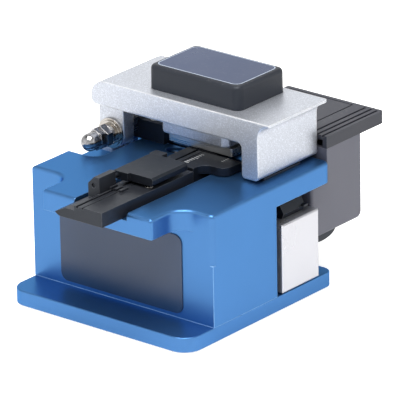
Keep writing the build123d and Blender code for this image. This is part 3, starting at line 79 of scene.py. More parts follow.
@dataclass
class Graph:
    """A node tree that is being filled."""

    tree: bpy.types.NodeTree

    def add(self, kind: str, **settings: object) -> bpy.types.Node:
        """Add one node and set its properties.

        Args:
            kind: Blender's class name of the node.
            **settings: properties of the node by name.

        Returns:
            The new node.
        """
        made = self.tree.nodes.new(kind)
        for name, value in settings.items():
            setattr(made, name, value)
        return made

    def feed(self, target: Socket, source: object) -> None:
        """Give a socket a link from another socket, or a plain value.

        Args:
            target: the input socket.
            source: an output socket, or the value to set.
        """
        if isinstance(source, Socket):
            self.tree.links.new(source, target)
        else:
            target.default_value = source

    def maths(self, how: str, *values: object) -> Socket:
        """Add a Math node.

        Args:
            how: the operation.
            *values: numbers or sockets, in the node's order.

        Returns:
            The node's result.
        """
        made = self.add("ShaderNodeMath", operation=how)
        for socket, value in zip(made.inputs, values):
            self.feed(socket, value)
        return made.outputs[0]

    def place(self) -> Socket:
        """The place on the object, shifted so that no noise is centred on the middle of it.

        Returns:
            The shifted coordinates, in metres.
        """
        shifted = self.add("ShaderNodeVectorMath", operation="ADD")
        self.feed(shifted.inputs[0], self.add("ShaderNodeTexCoord").outputs["Object"])
        self.feed(shifted.inputs[1], NOISE_SHIFT)
        return shifted.outputs[0]

    def blend_colour(self, share: object, first: object, second: object) -> Socket:
        """Mix two colours.

        Args:
            share: how much of the second colour shows, 0 to 1.
            first: colour or socket at share 0.
            second: colour or socket at share 1.

        Returns:
            The mixed colour.
        """
        made = self.add("ShaderNodeMix", data_type="RGBA", clamp_factor=True)
        self.feed(made.inputs[MIX_SHARE], share)
        self.feed(made.inputs[MIX_FIRST], first)
        self.feed(made.inputs[MIX_SECOND], second)
        return made.outputs[MIX_COLOUR]

    def spread(
        self, value: object, low: object, high: object, from_low: float = 0.0, from_high: float = 1.0,
    ) -> Socket:
        """Map a number from one range to another, kept inside it.

        Args:
            value: the number's socket.
            low: result at from_low.
            high: result at from_high.
            from_low: start of the incoming range.
            from_high: end of the incoming range.

        Returns:
            The mapped number.
        """
        made = self.add("ShaderNodeMapRange", clamp=True)
        for socket, given in zip(made.inputs, (value, from_low, from_high, low, high)):
            self.feed(socket, given)
        return made.outputs[0]

    def mask(self, value: object, start: float, full: float) -> Socket:
        """A mask that rises from 0 at one value to 1 at another."""
        return self.spread(value, 0.0, 1.0, start, full)

    def noise(self, place: Socket, scale: object, detail: float = 2.0, roughness: float = 0.5) -> Socket:
        """Add a Noise texture.

        Args:
            place: the coordinates it is read at.
            scale: its scale, as a number or a socket.
            detail: how many finer layers it has.
            roughness: how much the finer layers count.

        Returns:
            The noise.
        """
        made = self.add("ShaderNodeTexNoise", noise_dimensions="3D")
        given = {"Vector": place, "Scale": scale, "Detail": detail, "Roughness": roughness}
        for label, value in given.items():
            self.feed(made.inputs[label], value)
        return made.outputs["Fac"]


@dataclass
class Effect:
    """A shader node group with named inputs and outputs, built once and shared."""

    name: str
    inputs: Sequence[Tuple[str, str, float]]
    outputs: Sequence[Tuple[str, str]]

    def open(self) -> Tuple[Graph, bpy.types.Node, bpy.types.Node]:
        """Make the empty group.

        Returns:
            The group's graph, its input node and its output node.
        """
        tree = bpy.data.node_groups.new(self.name, "ShaderNodeTree")
        for label, kind, value in self.inputs:
            socket = tree.interface.new_socket(label, in_out="INPUT", socket_type=kind)
            if kind == FLOAT:
                socket.default_value = value
        for label, kind in self.outputs:
            tree.interface.new_socket(label, in_out="OUTPUT", socket_type=kind)
        graph = Graph(tree)
        return graph, graph.add("NodeGroupInput"), graph.add("NodeGroupOutput")


@dataclass(frozen=True)
class SurfaceGrain:
    """Fine pits of a blasted, etched or moulded surface, with slow clouding and glints over them."""

    grains_per_metre: float = 5000.0
    pit_detail: float = 3.0
    pit_roughness: float = 0.62
    cloud_detail: float = 4.0
    cloud_start: float = 0.32
    cloud_full: float = 0.68
    glints_per_grain: float = 0.7
    glint_start: float = 0.55

    def build(self) -> bpy.types.NodeTree:
        """Build the shared effect.

        Returns:
            The node group.
        """
        graph, given, out = Effect(
            "surface_grain",
            [
                ("Grains per metre", FLOAT, self.grains_per_metre),
                ("Clouds per metre", FLOAT, CLOUDS_PER_METRE),
            ],
            [("Height", FLOAT), ("Clouds", FLOAT), ("Sparkle", FLOAT)],
        ).open()
        place, per_metre = graph.place(), given.outputs["Grains per metre"]
        pits = graph.noise(place, per_metre, self.pit_detail, self.pit_roughness)
        slow = graph.noise(place, given.outputs["Clouds per metre"], self.cloud_detail)
        cells = graph.add("ShaderNodeTexVoronoi", feature="F1")
        graph.feed(cells.inputs["Vector"], place)
        glint_scale = graph.maths("MULTIPLY", per_metre, self.glints_per_grain)
        graph.feed(cells.inputs["Scale"], glint_scale)
        glint = graph.add("ShaderNodeSeparateColor")
        graph.feed(glint.inputs[0], cells.outputs["Color"])
        graph.feed(out.inputs["Height"], pits)
        graph.feed(out.inputs["Clouds"], graph.mask(slow, self.cloud_start, self.cloud_full))
        graph.feed(out.inputs["Sparkle"], graph.mask(glint.outputs["Red"], self.glint_start, 1.0))
        return graph.tree


@dataclass(frozen=True)
class BrushedLines:
    """Long fine scratches of a ground or turned surface."""

    lines_per_metre: float = 9000.0
    streaks_per_line: float = 0.22
    streak_start: float = 0.35
    streak_full: float = 0.65

    def build(self) -> bpy.types.NodeTree:
        """Build the shared effect.

        Returns:
            The node group.
        """
        graph, given, out = Effect(
            "brushed_lines",
            [("Stretch", VECTOR, 0.0), ("Lines per metre", FLOAT, self.lines_per_metre)],
            [("Height", FLOAT), ("Streaks", FLOAT)],
        ).open()
        drawn = graph.add("ShaderNodeVectorMath", operation="MULTIPLY")
        graph.feed(drawn.inputs[0], graph.place())
        graph.feed(drawn.inputs[1], given.outputs["Stretch"])
        per_metre = given.outputs["Lines per metre"]
        fine = graph.noise(drawn.outputs[0], per_metre)
        streak_scale = graph.maths("MULTIPLY", per_metre, self.streaks_per_line)
        wide = graph.noise(drawn.outputs[0], streak_scale)
        graph.feed(out.inputs["Height"], fine)
        graph.feed(out.inputs["Streaks"], graph.mask(wide, self.streak_start, self.streak_full))
        return graph.tree


@dataclass(frozen=True)
class EdgeWearAndHighlight:
    """Broken edges: a rounded normal, and a mask along the corners, used both for wear where handling has
    polished them and for a painted highlight along them.
    """

    radius: float = 0.0002
    bevel_samples: int = 6
    sharp_agreement: float = 0.80
    flat_agreement: float = 0.985
    patch_detail: float = 5.0
    patch_least: float = 0.45
    patch_start: float = 0.35
    patch_full: float = 0.62

    def build(self) -> bpy.types.NodeTree:
        """Build the shared effect.

        Returns:
            The node group.
        """
        graph, given, out = Effect(
            "edge_wear_and_highlight",
            [("Radius", FLOAT, self.radius), ("Patches per metre", FLOAT, WEAR_PATCHES_PER_METRE)],
            [("Normal", VECTOR), ("Wear and highlight", FLOAT)],
        ).open()
        soft = graph.add("ShaderNodeBevel", samples=self.bevel_samples)
        graph.feed(soft.inputs["Radius"], given.outputs["Radius"])
        true = graph.add("ShaderNodeNewGeometry")
        agree = graph.add("ShaderNodeVectorMath", operation="DOT_PRODUCT")
        graph.feed(agree.inputs[0], soft.outputs[0])
        graph.feed(agree.inputs[1], true.outputs["Normal"])
        turn = graph.spread(agree.outputs["Value"], 1.0, 0.0, self.sharp_agreement, self.flat_agreement)
        patch = graph.noise(graph.place(), given.outputs["Patches per metre"], self.patch_detail)
        broken = graph.spread(patch, self.patch_least, 1.0, self.patch_start, self.patch_full)
        graph.feed(out.inputs["Normal"], soft.outputs[0])
        graph.feed(out.inputs["Wear and highlight"], graph.maths("MULTIPLY", turn, broken))
        return graph.tree


@dataclass(frozen=True)
class SettledDust:
    """Sparse dust on the faces that look up."""

    amount: float = 0.2
    level_start: float = 0.4
    level_full: float = 0.95
    speck_detail: float = 6.0
    speck_start: float = 0.58
    speck_full: float = 0.72

    def build(self) -> bpy.types.NodeTree:
        """Build the shared effect.

        Returns:
            The node group.
        """
        graph, given, out = Effect(
            "settled_dust",
            [("Specks per metre", FLOAT, SPECKS_PER_METRE), ("Amount", FLOAT, self.amount)],
            [("Dust", FLOAT)],
        ).open()
        facing = graph.add("ShaderNodeSeparateXYZ")
        graph.feed(facing.inputs[0], graph.add("ShaderNodeNewGeometry").outputs["Normal"])
        up = graph.mask(facing.outputs["Z"], self.level_start, self.level_full)
        specks = graph.noise(graph.place(), given.outputs["Specks per metre"], self.speck_detail)
        seen = graph.mask(specks, self.speck_start, self.speck_full)
        settled = graph.maths("MULTIPLY", up, seen)
        graph.feed(out.inputs["Dust"], graph.maths("MULTIPLY", settled, given.outputs["Amount"]))
        return graph.tree


class Layer(Enum):
    """The shared effects that a finish is made of."""

    GRAIN = "grain"
    BRUSHING = "brushing"
    EDGES = "edges"
    DUST = "dust"


EFFECTS: Dict[Layer, bpy.types.NodeTree] = {
    Layer.GRAIN: SurfaceGrain().build(),
    Layer.BRUSHING: BrushedLines().build(),
    Layer.EDGES: EdgeWearAndHighlight().build(),
    Layer.DUST: SettledDust().build(),
}


# ---------------------------------------------------------------- finishes


class Surface(Enum):
    """How a surface was made, which sets the pattern of its fine relief."""

    GRAINED = "grained"
    DRAWN = "drawn"


@dataclass(frozen=True)
class Finish:
    """One finish of the cleaver, with everything its material needs."""

    name: str
    colour: Colour
    roughness: float
    metallic: float
    surface: Surface = Surface.GRAINED
    grain_mm: float = 0.2
    relief_mm: float = 0.002
    relief_strength: float = 0.3
    cloud_shift: float = 0.04
    roughness_spread: float = 0.05
    sparkle: float = 0.0
    edge_mm: float = 0.2
    # Colour and share of the edge mask, which is partly wear and partly a painted highlight along the
    # edges.
    worn_and_highlight_colour: Colour = (0.6, 0.6, 0.6)
    worn_and_highlight_share: float = 0.25
    dust_share: float = 0.1
    specular: float = 0.5
    edge_tint: Colour = (1.0, 1.0, 1.0)
    stretch: Point = (0.04, 1.0, 1.0)

    def make(self) -> bpy.types.Material:
        """Build the material.

        Returns:
            The finished material.
        """
        material = bpy.data.materials.new(self.name)
        material.use_nodes = True
        graph = Graph(material.node_tree)
        shader = graph.tree.nodes["Principled BSDF"]
        relief, clouds, sparkle = self.relief(graph)
        edges = self.group(graph, Layer.EDGES, (self.edge_mm * MM, WEAR_PATCHES_PER_METRE))
        dust = self.group(graph, Layer.DUST, (SPECKS_PER_METRE, self.dust_share))
        dark, light = self.shade(1.0 - self.cloud_shift), self.shade(1.0 + self.cloud_shift)
        colour = graph.blend_colour(clouds, dark, light)
        if self.sparkle:
            glints = graph.maths("MULTIPLY", sparkle, self.sparkle)
            colour = graph.blend_colour(glints, colour, self.shade(SPARKLE_LIFT))
        colour = self.fade_over(graph, colour)
        # Corners are lightened toward the edge colour: partly wear, partly a painted highlight along the
        # edges.
        worn_and_lit = graph.maths("MULTIPLY", edges.outputs["Wear and highlight"], self.worn_and_highlight_share)
        colour = graph.blend_colour(worn_and_lit, colour, (*self.worn_and_highlight_colour, 1.0))
        colour = graph.blend_colour(dust.outputs["Dust"], colour, DUST_COLOUR)
        graph.feed(shader.inputs["Base Color"], colour)
        smooth, coarse = self.roughness - self.roughness_spread, self.roughness + self.roughness_spread
        rough = graph.spread(clouds, smooth, coarse)
        dusted = graph.maths("MULTIPLY", dust.outputs["Dust"], DUST_ROUGHENING)
        graph.feed(shader.inputs["Roughness"], graph.maths("ADD", rough, dusted))
        bump = graph.add("ShaderNodeBump")
        bump.inputs["Strength"].default_value = self.relief_strength
        bump.inputs["Distance"].default_value = self.relief_mm * MM
        graph.feed(bump.inputs["Height"], relief)
        graph.feed(bump.inputs["Normal"], edges.outputs["Normal"])
        graph.feed(shader.inputs["Normal"], bump.outputs[0])
        shader.inputs["Metallic"].default_value = self.metallic
        shader.inputs["Specular IOR Level"].default_value = self.specular
        shader.inputs["Specular Tint"].default_value = (*self.edge_tint, 1.0)
        return material

    def fade_over(self, graph: Graph, colour: Socket) -> Socket:
        """The colour with any fade laid over it; a plain finish has none."""
        return colour

    def shade(self, factor: float) -> Tuple[float, float, float, float]:
        """The finish's colour, lightened or darkened."""
        return (*(min(1.0, part * factor) for part in self.colour), 1.0)

    def group(self, graph: Graph, layer: Layer, values: Sequence[object]) -> bpy.types.Node:
        """Place a shared effect in the material.

        Args:
            graph: the material's graph.
            layer: the effect.
            values: values of its inputs, in order.

        Returns:
            The group node.
        """
        made = graph.add("ShaderNodeGroup", node_tree=EFFECTS[layer])
        for socket, value in zip(made.inputs, values):
            graph.feed(socket, value)
        return made

    def relief(self, graph: Graph) -> Tuple[Socket, Socket, Socket]:
        """Place the pattern of the surface.

        Args:
            graph: the material's graph.

        Returns:
            The relief's height, the slow shift in shade and the sparkle.
        """
        per_metre = 1.0 / (self.grain_mm * MM)
        if self.surface is Surface.DRAWN:
            made = self.group(graph, Layer.BRUSHING, (self.stretch, per_metre))
            return made.outputs["Height"], made.outputs["Streaks"], made.outputs["Streaks"]
        made = self.group(graph, Layer.GRAIN, (per_metre, CLOUDS_PER_METRE))
        return made.outputs["Height"], made.outputs["Clouds"], made.outputs["Sparkle"]


class Axis(Enum):
    """The axis of the frame that a film's ground fades along."""

    X = "X"
    Z = "Z"


@dataclass(frozen=True)
class FilmFinish(Finish):
    """Printed label film, whose ground fades from a low shade to a high one along its face; on the front
    label this fade is a painted reflection.
    """

    low_colour: Colour = (0.02, 0.04, 0.09)
    high_colour: Colour = (0.09, 0.11, 0.17)
    low_mm: float = 0.0
    high_mm: float = 1.0
    axis: Axis = Axis.Z

    def fade_over(self, graph: Graph, colour: Socket) -> Socket:
        """Fade the ground colour along the film.

        Args:
            graph: the material's graph.
            colour: the clouded ground colour.

        Returns:
            The faded colour.
        """
        parts = graph.add("ShaderNodeSeparateXYZ")
        graph.feed(parts.inputs[0], graph.add("ShaderNodeTexCoord").outputs["Object"])
        along = parts.outputs[self.axis.value]
        share = graph.mask(along, self.low_mm * MM, self.high_mm * MM)
        fade = graph.blend_colour(share, (*self.low_colour, 1.0), (*self.high_colour, 1.0))
        return graph.blend_colour(FADE_SHARE, colour, fade)


# The light blue edge colour is a painted highlight along the body's edges.
BLUE_ANODISED = Finish(
    "blue_anodised", (0.070, 0.190, 0.418), roughness=0.36, metallic=0.90, grain_mm=0.16,
    relief_mm=0.003, relief_strength=0.28, cloud_shift=0.03, roughness_spread=0.03, edge_mm=0.35,
    worn_and_highlight_colour=(0.36, 0.60, 0.90), worn_and_highlight_share=0.80, dust_share=0.02, edge_tint=(0.42, 0.64, 0.95),
)
# The white edge colour at full share is a painted highlight along the arm's edges.
SILVER_BLASTED = Finish(
    "silver_blasted", (0.510, 0.532, 0.580), roughness=0.42, metallic=0.80, grain_mm=0.15,
    relief_mm=0.020, relief_strength=0.9, cloud_shift=0.02, roughness_spread=0.04, sparkle=0.62,
    edge_mm=0.70, worn_and_highlight_colour=(1.0, 1.0, 1.0), worn_and_highlight_share=1.0, dust_share=0.0,
)
BRUSHED_STEEL = Finish(
    "brushed_steel", (0.46, 0.46, 0.46), roughness=0.33, metallic=0.95, surface=Surface.DRAWN,
    grain_mm=0.11, relief_mm=0.003, relief_strength=0.4, cloud_shift=0.14, roughness_spread=0.08,
    edge_mm=0.12, worn_and_highlight_share=0.3, worn_and_highlight_colour=(0.75, 0.75, 0.75), dust_share=0.02,
)
TURNED_STEEL = Finish(
    "turned_steel", (0.50, 0.50, 0.51), roughness=0.24, metallic=1.0, surface=Surface.DRAWN,
    grain_mm=0.10, relief_mm=0.002, relief_strength=0.3, cloud_shift=0.08, roughness_spread=0.05,
    edge_mm=0.10, stretch=(1.0, 0.05, 1.0), worn_and_highlight_colour=(0.8, 0.8, 0.8), dust_share=0.02,
)
BRIGHT_NICKEL = Finish(
    "bright_nickel", (0.43, 0.405, 0.375), roughness=0.09, metallic=1.0, grain_mm=0.35,
    relief_mm=0.002, relief_strength=0.12, cloud_shift=0.06, roughness_spread=0.03, edge_mm=0.15,
    worn_and_highlight_colour=(0.9, 0.88, 0.85), worn_and_highlight_share=0.5, dust_share=0.02,
)
# Darker than the washers' nickel: painted shade for the dark surroundings that the polished nuts mirror.
SHADED_NUT_PLATING = Finish(
    "shaded_nut_plating", (0.34, 0.336, 0.345), roughness=0.15, metallic=1.0, grain_mm=0.35,
    relief_mm=0.002, relief_strength=0.12, cloud_shift=0.08, roughness_spread=0.03, edge_mm=0.15,
    worn_and_highlight_colour=(0.9, 0.88, 0.85), worn_and_highlight_share=0.8, dust_share=0.02,
)
BLACK_ANODISED = Finish(
    "black_anodised", (0.012, 0.014, 0.019), roughness=0.38, metallic=0.25, grain_mm=0.14,
    relief_mm=0.003, relief_strength=0.3, cloud_shift=0.15, roughness_spread=0.06, edge_mm=0.16,
    worn_and_highlight_colour=(0.16, 0.17, 0.19), worn_and_highlight_share=0.8, dust_share=0.04, specular=0.27,
    edge_tint=(0.84, 0.92, 1.0),
)
ADAPTER_BLACK = Finish(
    "adapter_black", (0.020, 0.022, 0.028), roughness=0.40, metallic=0.20, grain_mm=0.14,
    relief_mm=0.004, relief_strength=0.35, cloud_shift=0.15, roughness_spread=0.06, edge_mm=0.18,
    worn_and_highlight_colour=(0.18, 0.19, 0.21), worn_and_highlight_share=0.9, dust_share=0.04, specular=0.36,
    edge_tint=(0.84, 0.92, 1.0),
)
WHITE_COATED = Finish(
    "white_coated", (0.55, 0.55, 0.58), roughness=0.30, metallic=0.85, grain_mm=0.5,
    relief_mm=0.004, relief_strength=0.15, cloud_shift=0.015, roughness_spread=0.04, edge_mm=0.25,
    worn_and_highlight_colour=(0.45, 0.46, 0.48), worn_and_highlight_share=0.35, dust_share=0.04,
)
GREY_PLASTIC = Finish(
    "grey_plastic", (0.108, 0.110, 0.140), roughness=0.48, metallic=0.0, grain_mm=0.30,
    relief_mm=0.010, relief_strength=0.35, cloud_shift=0.05, roughness_spread=0.05, edge_mm=0.3,
    worn_and_highlight_colour=(0.26, 0.26, 0.29), worn_and_highlight_share=0.5, dust_share=0.08,
)
DARK_PLASTIC = Finish(
    "dark_plastic", (0.029, 0.031, 0.043), roughness=0.46, metallic=0.0, grain_mm=0.28,
    relief_mm=0.010, relief_strength=0.35, cloud_shift=0.07, roughness_spread=0.05, edge_mm=0.25,
    worn_and_highlight_colour=(0.17, 0.17, 0.19), worn_and_highlight_share=0.6, dust_share=0.06, specular=0.38,
)
PAD_RUBBER = Finish(
    "pad_rubber", (0.015, 0.017, 0.024), roughness=0.46, metallic=0.0, grain_mm=0.35,
    relief_mm=0.012, relief_strength=0.35, cloud_shift=0.08, roughness_spread=0.05, edge_mm=0.3,
    worn_and_highlight_colour=(0.10, 0.10, 0.11), worn_and_highlight_share=0.5, dust_share=0.07, specular=0.36,
    edge_tint=(0.86, 0.93, 1.0),
)
GRINDING_FACE = Finish(
    "carbide", (0.30, 0.30, 0.32), roughness=0.20, metallic=1.0, surface=Surface.DRAWN,
    grain_mm=0.08, relief_mm=0.002, relief_strength=0.3, cloud_shift=0.1, roughness_spread=0.05,
    edge_mm=0.05, stretch=(1.0, 0.1, 1.0), dust_share=0.0,
)
# The front label darkens and turns bluer towards the bottom: a painted reflection.
FRONT_FILM = FilmFinish(
    "front_film", (0.05, 0.065, 0.10), roughness=0.34, metallic=0.0, grain_mm=0.5, relief_mm=0.004,
    relief_strength=0.15, cloud_shift=0.05, edge_mm=0.12, worn_and_highlight_colour=(0.3, 0.34, 0.42),
    worn_and_highlight_share=0.4, dust_share=0.02, low_colour=(0.005, 0.033, 0.100),
    high_colour=(0.024, 0.050, 0.110), low_mm=7.0, high_mm=15.0,
)
PAD_FILM = FilmFinish(
    "pad_film", (0.06, 0.08, 0.14), roughness=0.30, metallic=0.0, grain_mm=0.5, relief_mm=0.004,
    relief_strength=0.15, cloud_shift=0.05, edge_mm=0.12, worn_and_highlight_colour=(0.3, 0.34, 0.42),
    worn_and_highlight_share=0.4, dust_share=0.04, low_colour=(0.026, 0.044, 0.104),
    high_colour=(0.013, 0.027, 0.078), low_mm=-14.0, high_mm=17.0, axis=Axis.X, specular=0.30,
    edge_tint=(0.80, 0.90, 1.0),
)
SCALE_INK = Finish(
    "scale_ink", (0.86, 0.87, 0.88), roughness=0.5, metallic=0.0, grain_mm=0.15, relief_mm=0.002,
    cloud_shift=0.15, edge_mm=0.03, dust_share=0.0,
)
# A thin light band round the push pad's label: a painted highlight on the label's edge.
LABEL_EDGE_HIGHLIGHT = Finish(
    "label_edge_highlight", (0.40, 0.46, 0.56), roughness=0.3, metallic=0.0, grain_mm=0.4, relief_mm=0.002,
    cloud_shift=0.1, edge_mm=0.02, dust_share=0.0,
)


class FinishShelf:
    """Builds each finish's material once and hands it out."""

    def __init__(self) -> None:
        """Start with no materials made."""
        self.made: Dict[str, bpy.types.Material] = {}

    def material(self, finish: Finish) -> bpy.types.Material:
        """Hand out the material of a finish, built at its first use.

        Args:
            finish: the finish.

        Returns:
            Its material.
        """
        if finish.name not in self.made:
            self.made[finish.name] = finish.make()
        return self.made[finish.name]

    def dress(self, finish: Finish, *nodes: str) -> None:
        """Give carried-over nodes their finish.

        Args:
            finish: the finish.
            *nodes: names of the nodes.
        """
        for name in nodes:
            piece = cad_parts[name]
            if not piece.material_slots:
                piece.data.materials.append(None)
            for place in piece.material_slots:
                place.material = self.material(finish)
            LOG.info("dressed %s in %s", name, finish.name)


SHELF = FinishShelf()


# ---------------------------------------------------------------- mesh tools


@dataclass(frozen=True)
class Stroke:
    """A thin flat mark from one point to another, in millimetres in the frame."""

    start: Point
    end: Point
    width: float


class MarkMaker:
    """Turns strokes and outlines into thin solid pieces."""

    @staticmethod
    def strokes(name: str, marks: Iterable[Stroke], up: Point, thickness: float) -> bpy.types.Object:
        """Build a piece of thin bars.

        Args:
            name: the piece's name.
            marks: the bars.
            up: the direction that the bars stand proud in.
            thickness: how far they stand, in millimetres.

        Returns:
            The new object.
        """
        shape = bmesh.new()
        lift = Vector(up).normalized() * thickness * MM
        for mark in marks:
            start, end = Vector(mark.start) * MM, Vector(mark.end) * MM
            side = (end - start).cross(Vector(up)).normalized() * mark.width * MM / 2
            ring = [start - side, start + side, end + side, end - side]
            lower = [shape.verts.new(point) for point in ring]
            upper = [shape.verts.new(point + lift) for point in ring]
            shape.faces.new(lower[::-1])
            shape.faces.new(upper)
            for here in range(len(ring)):
                there = (here + 1) % len(ring)
                shape.faces.new((lower[here], lower[there], upper[there], upper[here]))
        bmesh.ops.recalc_face_normals(shape, faces=shape.faces)
        return MarkMaker.keep(name, shape)

    @staticmethod
    def plate(
        name: str, outline: Sequence[Point], inner: Sequence[Point], thickness: float,
    ) -> bpy.types.Object:
        """Build a flat plate, or a flat band where an inner outline is given.

        Args:
            name: the piece's name.
            outline: the outer corners in order, in millimetres.
            inner: the inner corners in the same order, or none for a full plate.
            thickness: height of the piece above its outline, in millimetres.

        Returns:
            The new object.
        """
        shape = bmesh.new()
        lift = Vector((0.0, 0.0, thickness * MM))
        rings = [
            [shape.verts.new(Vector(point) * MM + rise) for point in ring]
            for ring in (outline, inner) if ring
            for rise in (Vector(), lift)
        ]
        bottom, top = rings[:2]
        walls = [(bottom, top)]
        if inner:
            inner_bottom, inner_top = rings[2:]
            walls += [(top, inner_top), (inner_top, inner_bottom), (inner_bottom, bottom)]
        else:
            shape.faces.new(bottom[::-1])
            shape.faces.new(top)
        for first, second in walls:
            for here in range(len(outline)):
                there = (here + 1) % len(outline)
                shape.faces.new((first[here], first[there], second[there], second[here]))
        bmesh.ops.recalc_face_normals(shape, faces=shape.faces)
        return MarkMaker.keep(name, shape)

    @staticmethod
    def keep(name: str, shape: bmesh.types.BMesh) -> bpy.types.Object:
        """Make an object of a finished shape.

        Args:
            name: the object's name.
            shape: the shape, which is freed.

        Returns:
            The new object.
        """
        mesh = bpy.data.meshes.new(name)
        shape.to_mesh(mesh)
        shape.free()
        made = bpy.data.objects.new(name, mesh)
        bpy.context.scene.collection.objects.link(made)
        return made


def settle(piece: bpy.types.Object, body: str, finish: Finish) -> bpy.types.Object:
    """Give a new piece its finish, slot and body.

    Args:
        piece: the piece, in its place.
        body: the body that it rides on.
        finish: its finish.

    Returns:
        The same piece.
    """
    piece.data.materials.append(SHELF.material(finish))
    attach(piece, body)
    LOG.info("made %s on %s", piece.name, body)
    return piece


def extent(node: str) -> Tuple[Point, Point]:
    """Measure a carried-over node.

    Args:
        node: the node's name.

    Returns:
        The lowest and highest corner of its box at rest, in millimetres.
    """
    low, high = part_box(node)
    return tuple(low / MM), tuple(high / MM)


# ---------------------------------------------------------------- sub-assemblies


@dataclass
class BaseUnit:
    """Body, standing pad, label plate, rail and magnets."""

    def dress(self) -> None:
        """Give the carried-over nodes their finishes."""
        SHELF.dress(BLUE_ANODISED, "base_body")
        SHELF.dress(PAD_RUBBER, "standing_pad", "stop_strip", "front_lower_pad", "rear_lower_pad")
        SHELF.dress(FRONT_FILM, "front_label_plate")
        SHELF.dress(BRIGHT_NICKEL, "deck_magnets", "rail_screws")
        SHELF.dress(BRUSHED_STEEL, "guide_rail")
        SHELF.dress(BLACK_ANODISED, "front_pad_seat", "rear_pad_seat", "hinge_block")


@dataclass
class HingeHardware:
    """Pin, nuts, washers and screws of the arm's hinge."""

    def dress(self) -> None:
        """Give the carried-over nodes their finishes."""
        SHELF.dress(SHADED_NUT_PLATING, "dome_nut", "lock_nut")
        SHELF.dress(BRIGHT_NICKEL, "hinge_collar", "small_washer", "large_washer")
        SHELF.dress(BRIGHT_NICKEL, "hinge_screws")
        SHELF.dress(TURNED_STEEL, "hinge_pin", "hinge_clip", "hinge_spacer", "ear_bushes")


@dataclass
class BladeCarriage:
    """White carriage, its bearing, the blade and the trip bar."""

    def dress(self) -> None:
        """Give the carried-over nodes their finishes."""
        SHELF.dress(WHITE_COATED, "blade_carriage")
        SHELF.dress(BRUSHED_STEEL, "rail_bearing")
        SHELF.dress(BLACK_ANODISED, "blade_bracket")
        SHELF.dress(BRIGHT_NICKEL, "bracket_screws")
        SHELF.dress(TURNED_STEEL, "blade_shaft")
        SHELF.dress(GRINDING_FACE, "blade")
        SHELF.dress(BLACK_ANODISED, "trip_bar")


@dataclass
class ClampArm:
    """Silver arm with its push pad, clamp block and sprung carrier."""

    label_margin: float = 1.5
    label_corner: float = 2.2
    label_thickness: float = 0.06
    # Width and thickness of the painted highlight band round the label.
    highlight_width: float = 0.30
    highlight_thickness: float = 0.03
    corner_steps: int = 6
    clamp_travel: float = 0.5
    clamp_seat: float = 42.9
    anvil_travel: float = 0.8
    anvil_seat: float = 52.8

    def outline(self, inset: float, lift: float) -> List[Point]:
        """The label's rounded outline on the push pad.

        Args:
            inset: how far inside the label's edge it runs.
            lift: how far above the pad it lies.

        Returns:
            The corners in order.
        """
        low, high = extent("push_pad")
        away = self.label_margin + self.label_corner
        low_x, high_x = low[0] + away, high[0] - away
        low_y, high_y = low[1] + away, high[1] - away
        corners = ((high_x, high_y), (low_x, high_y), (low_x, low_y), (high_x, low_y))
        radius, height = self.label_corner - inset, high[2] + lift
        points = []
        for quarter, (x, y) in enumerate(corners):
            for step in range(self.corner_steps + 1):
                turn = math.radians(90.0 * (quarter + step / self.corner_steps))
                points.append((x + radius * math.cos(turn), y + radius * math.sin(turn), height))
        return points

    def coils(
        self, node: str, name: str, body: str,
    ) -> None:
        """Stand in for a spring's node with a copy of its coils.

        Args:
            node: the spring's node.
            name: name of the new piece.
            body: the body that the spring's seat belongs to.
        """
        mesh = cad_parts[node].data.copy()
        mesh.materials.clear()
        piece = bpy.data.objects.new(name, mesh)
        bpy.context.scene.collection.objects.link(piece)
        settle(piece, body, TURNED_STEEL)
        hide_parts(node)
        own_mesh(piece)

    def build(self) -> None:
        """Lay the push pad's label and a thin light band round its edge, a painted highlight, and stand
        the springs in.
        """
        self.coils(
            "clamp_springs", "clamp_coils", "upper_clamp",
        )
        self.coils(
            "anvil_spring", "anvil_coil", "anvil",
        )
        label = MarkMaker.plate("push_pad_label", self.outline(0.0, 0.0), [], self.label_thickness)
        settle(label, "arm", PAD_FILM)
        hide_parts("push_pad_label_plate")
        # A thin light band round the label's edge is a painted highlight of the edge catching the light.
        outer = self.outline(0.0, self.label_thickness)
        inner = self.outline(self.highlight_width, self.label_thickness)
        edge_highlight = MarkMaker.plate("label_edge_highlight", outer, inner, self.highlight_thickness)
        settle(edge_highlight, "arm", LABEL_EDGE_HIGHLIGHT)

    def dress(self) -> None:
        """Give the carried-over nodes their finishes."""
        SHELF.dress(PAD_FILM, "push_pad_label_plate")
        SHELF.dress(SILVER_BLASTED, "arm", "clamp_block")
        SHELF.dress(PAD_RUBBER, "push_pad", "front_upper_pad", "rear_upper_pad")
        SHELF.dress(BRIGHT_NICKEL, "clamp_screws", "guide_screws", "carrier_studs")
        SHELF.dress(BRUSHED_STEEL, "clamp_carrier")
        SHELF.dress(TURNED_STEEL, "anvil", "clamp_springs", "anvil_spring")


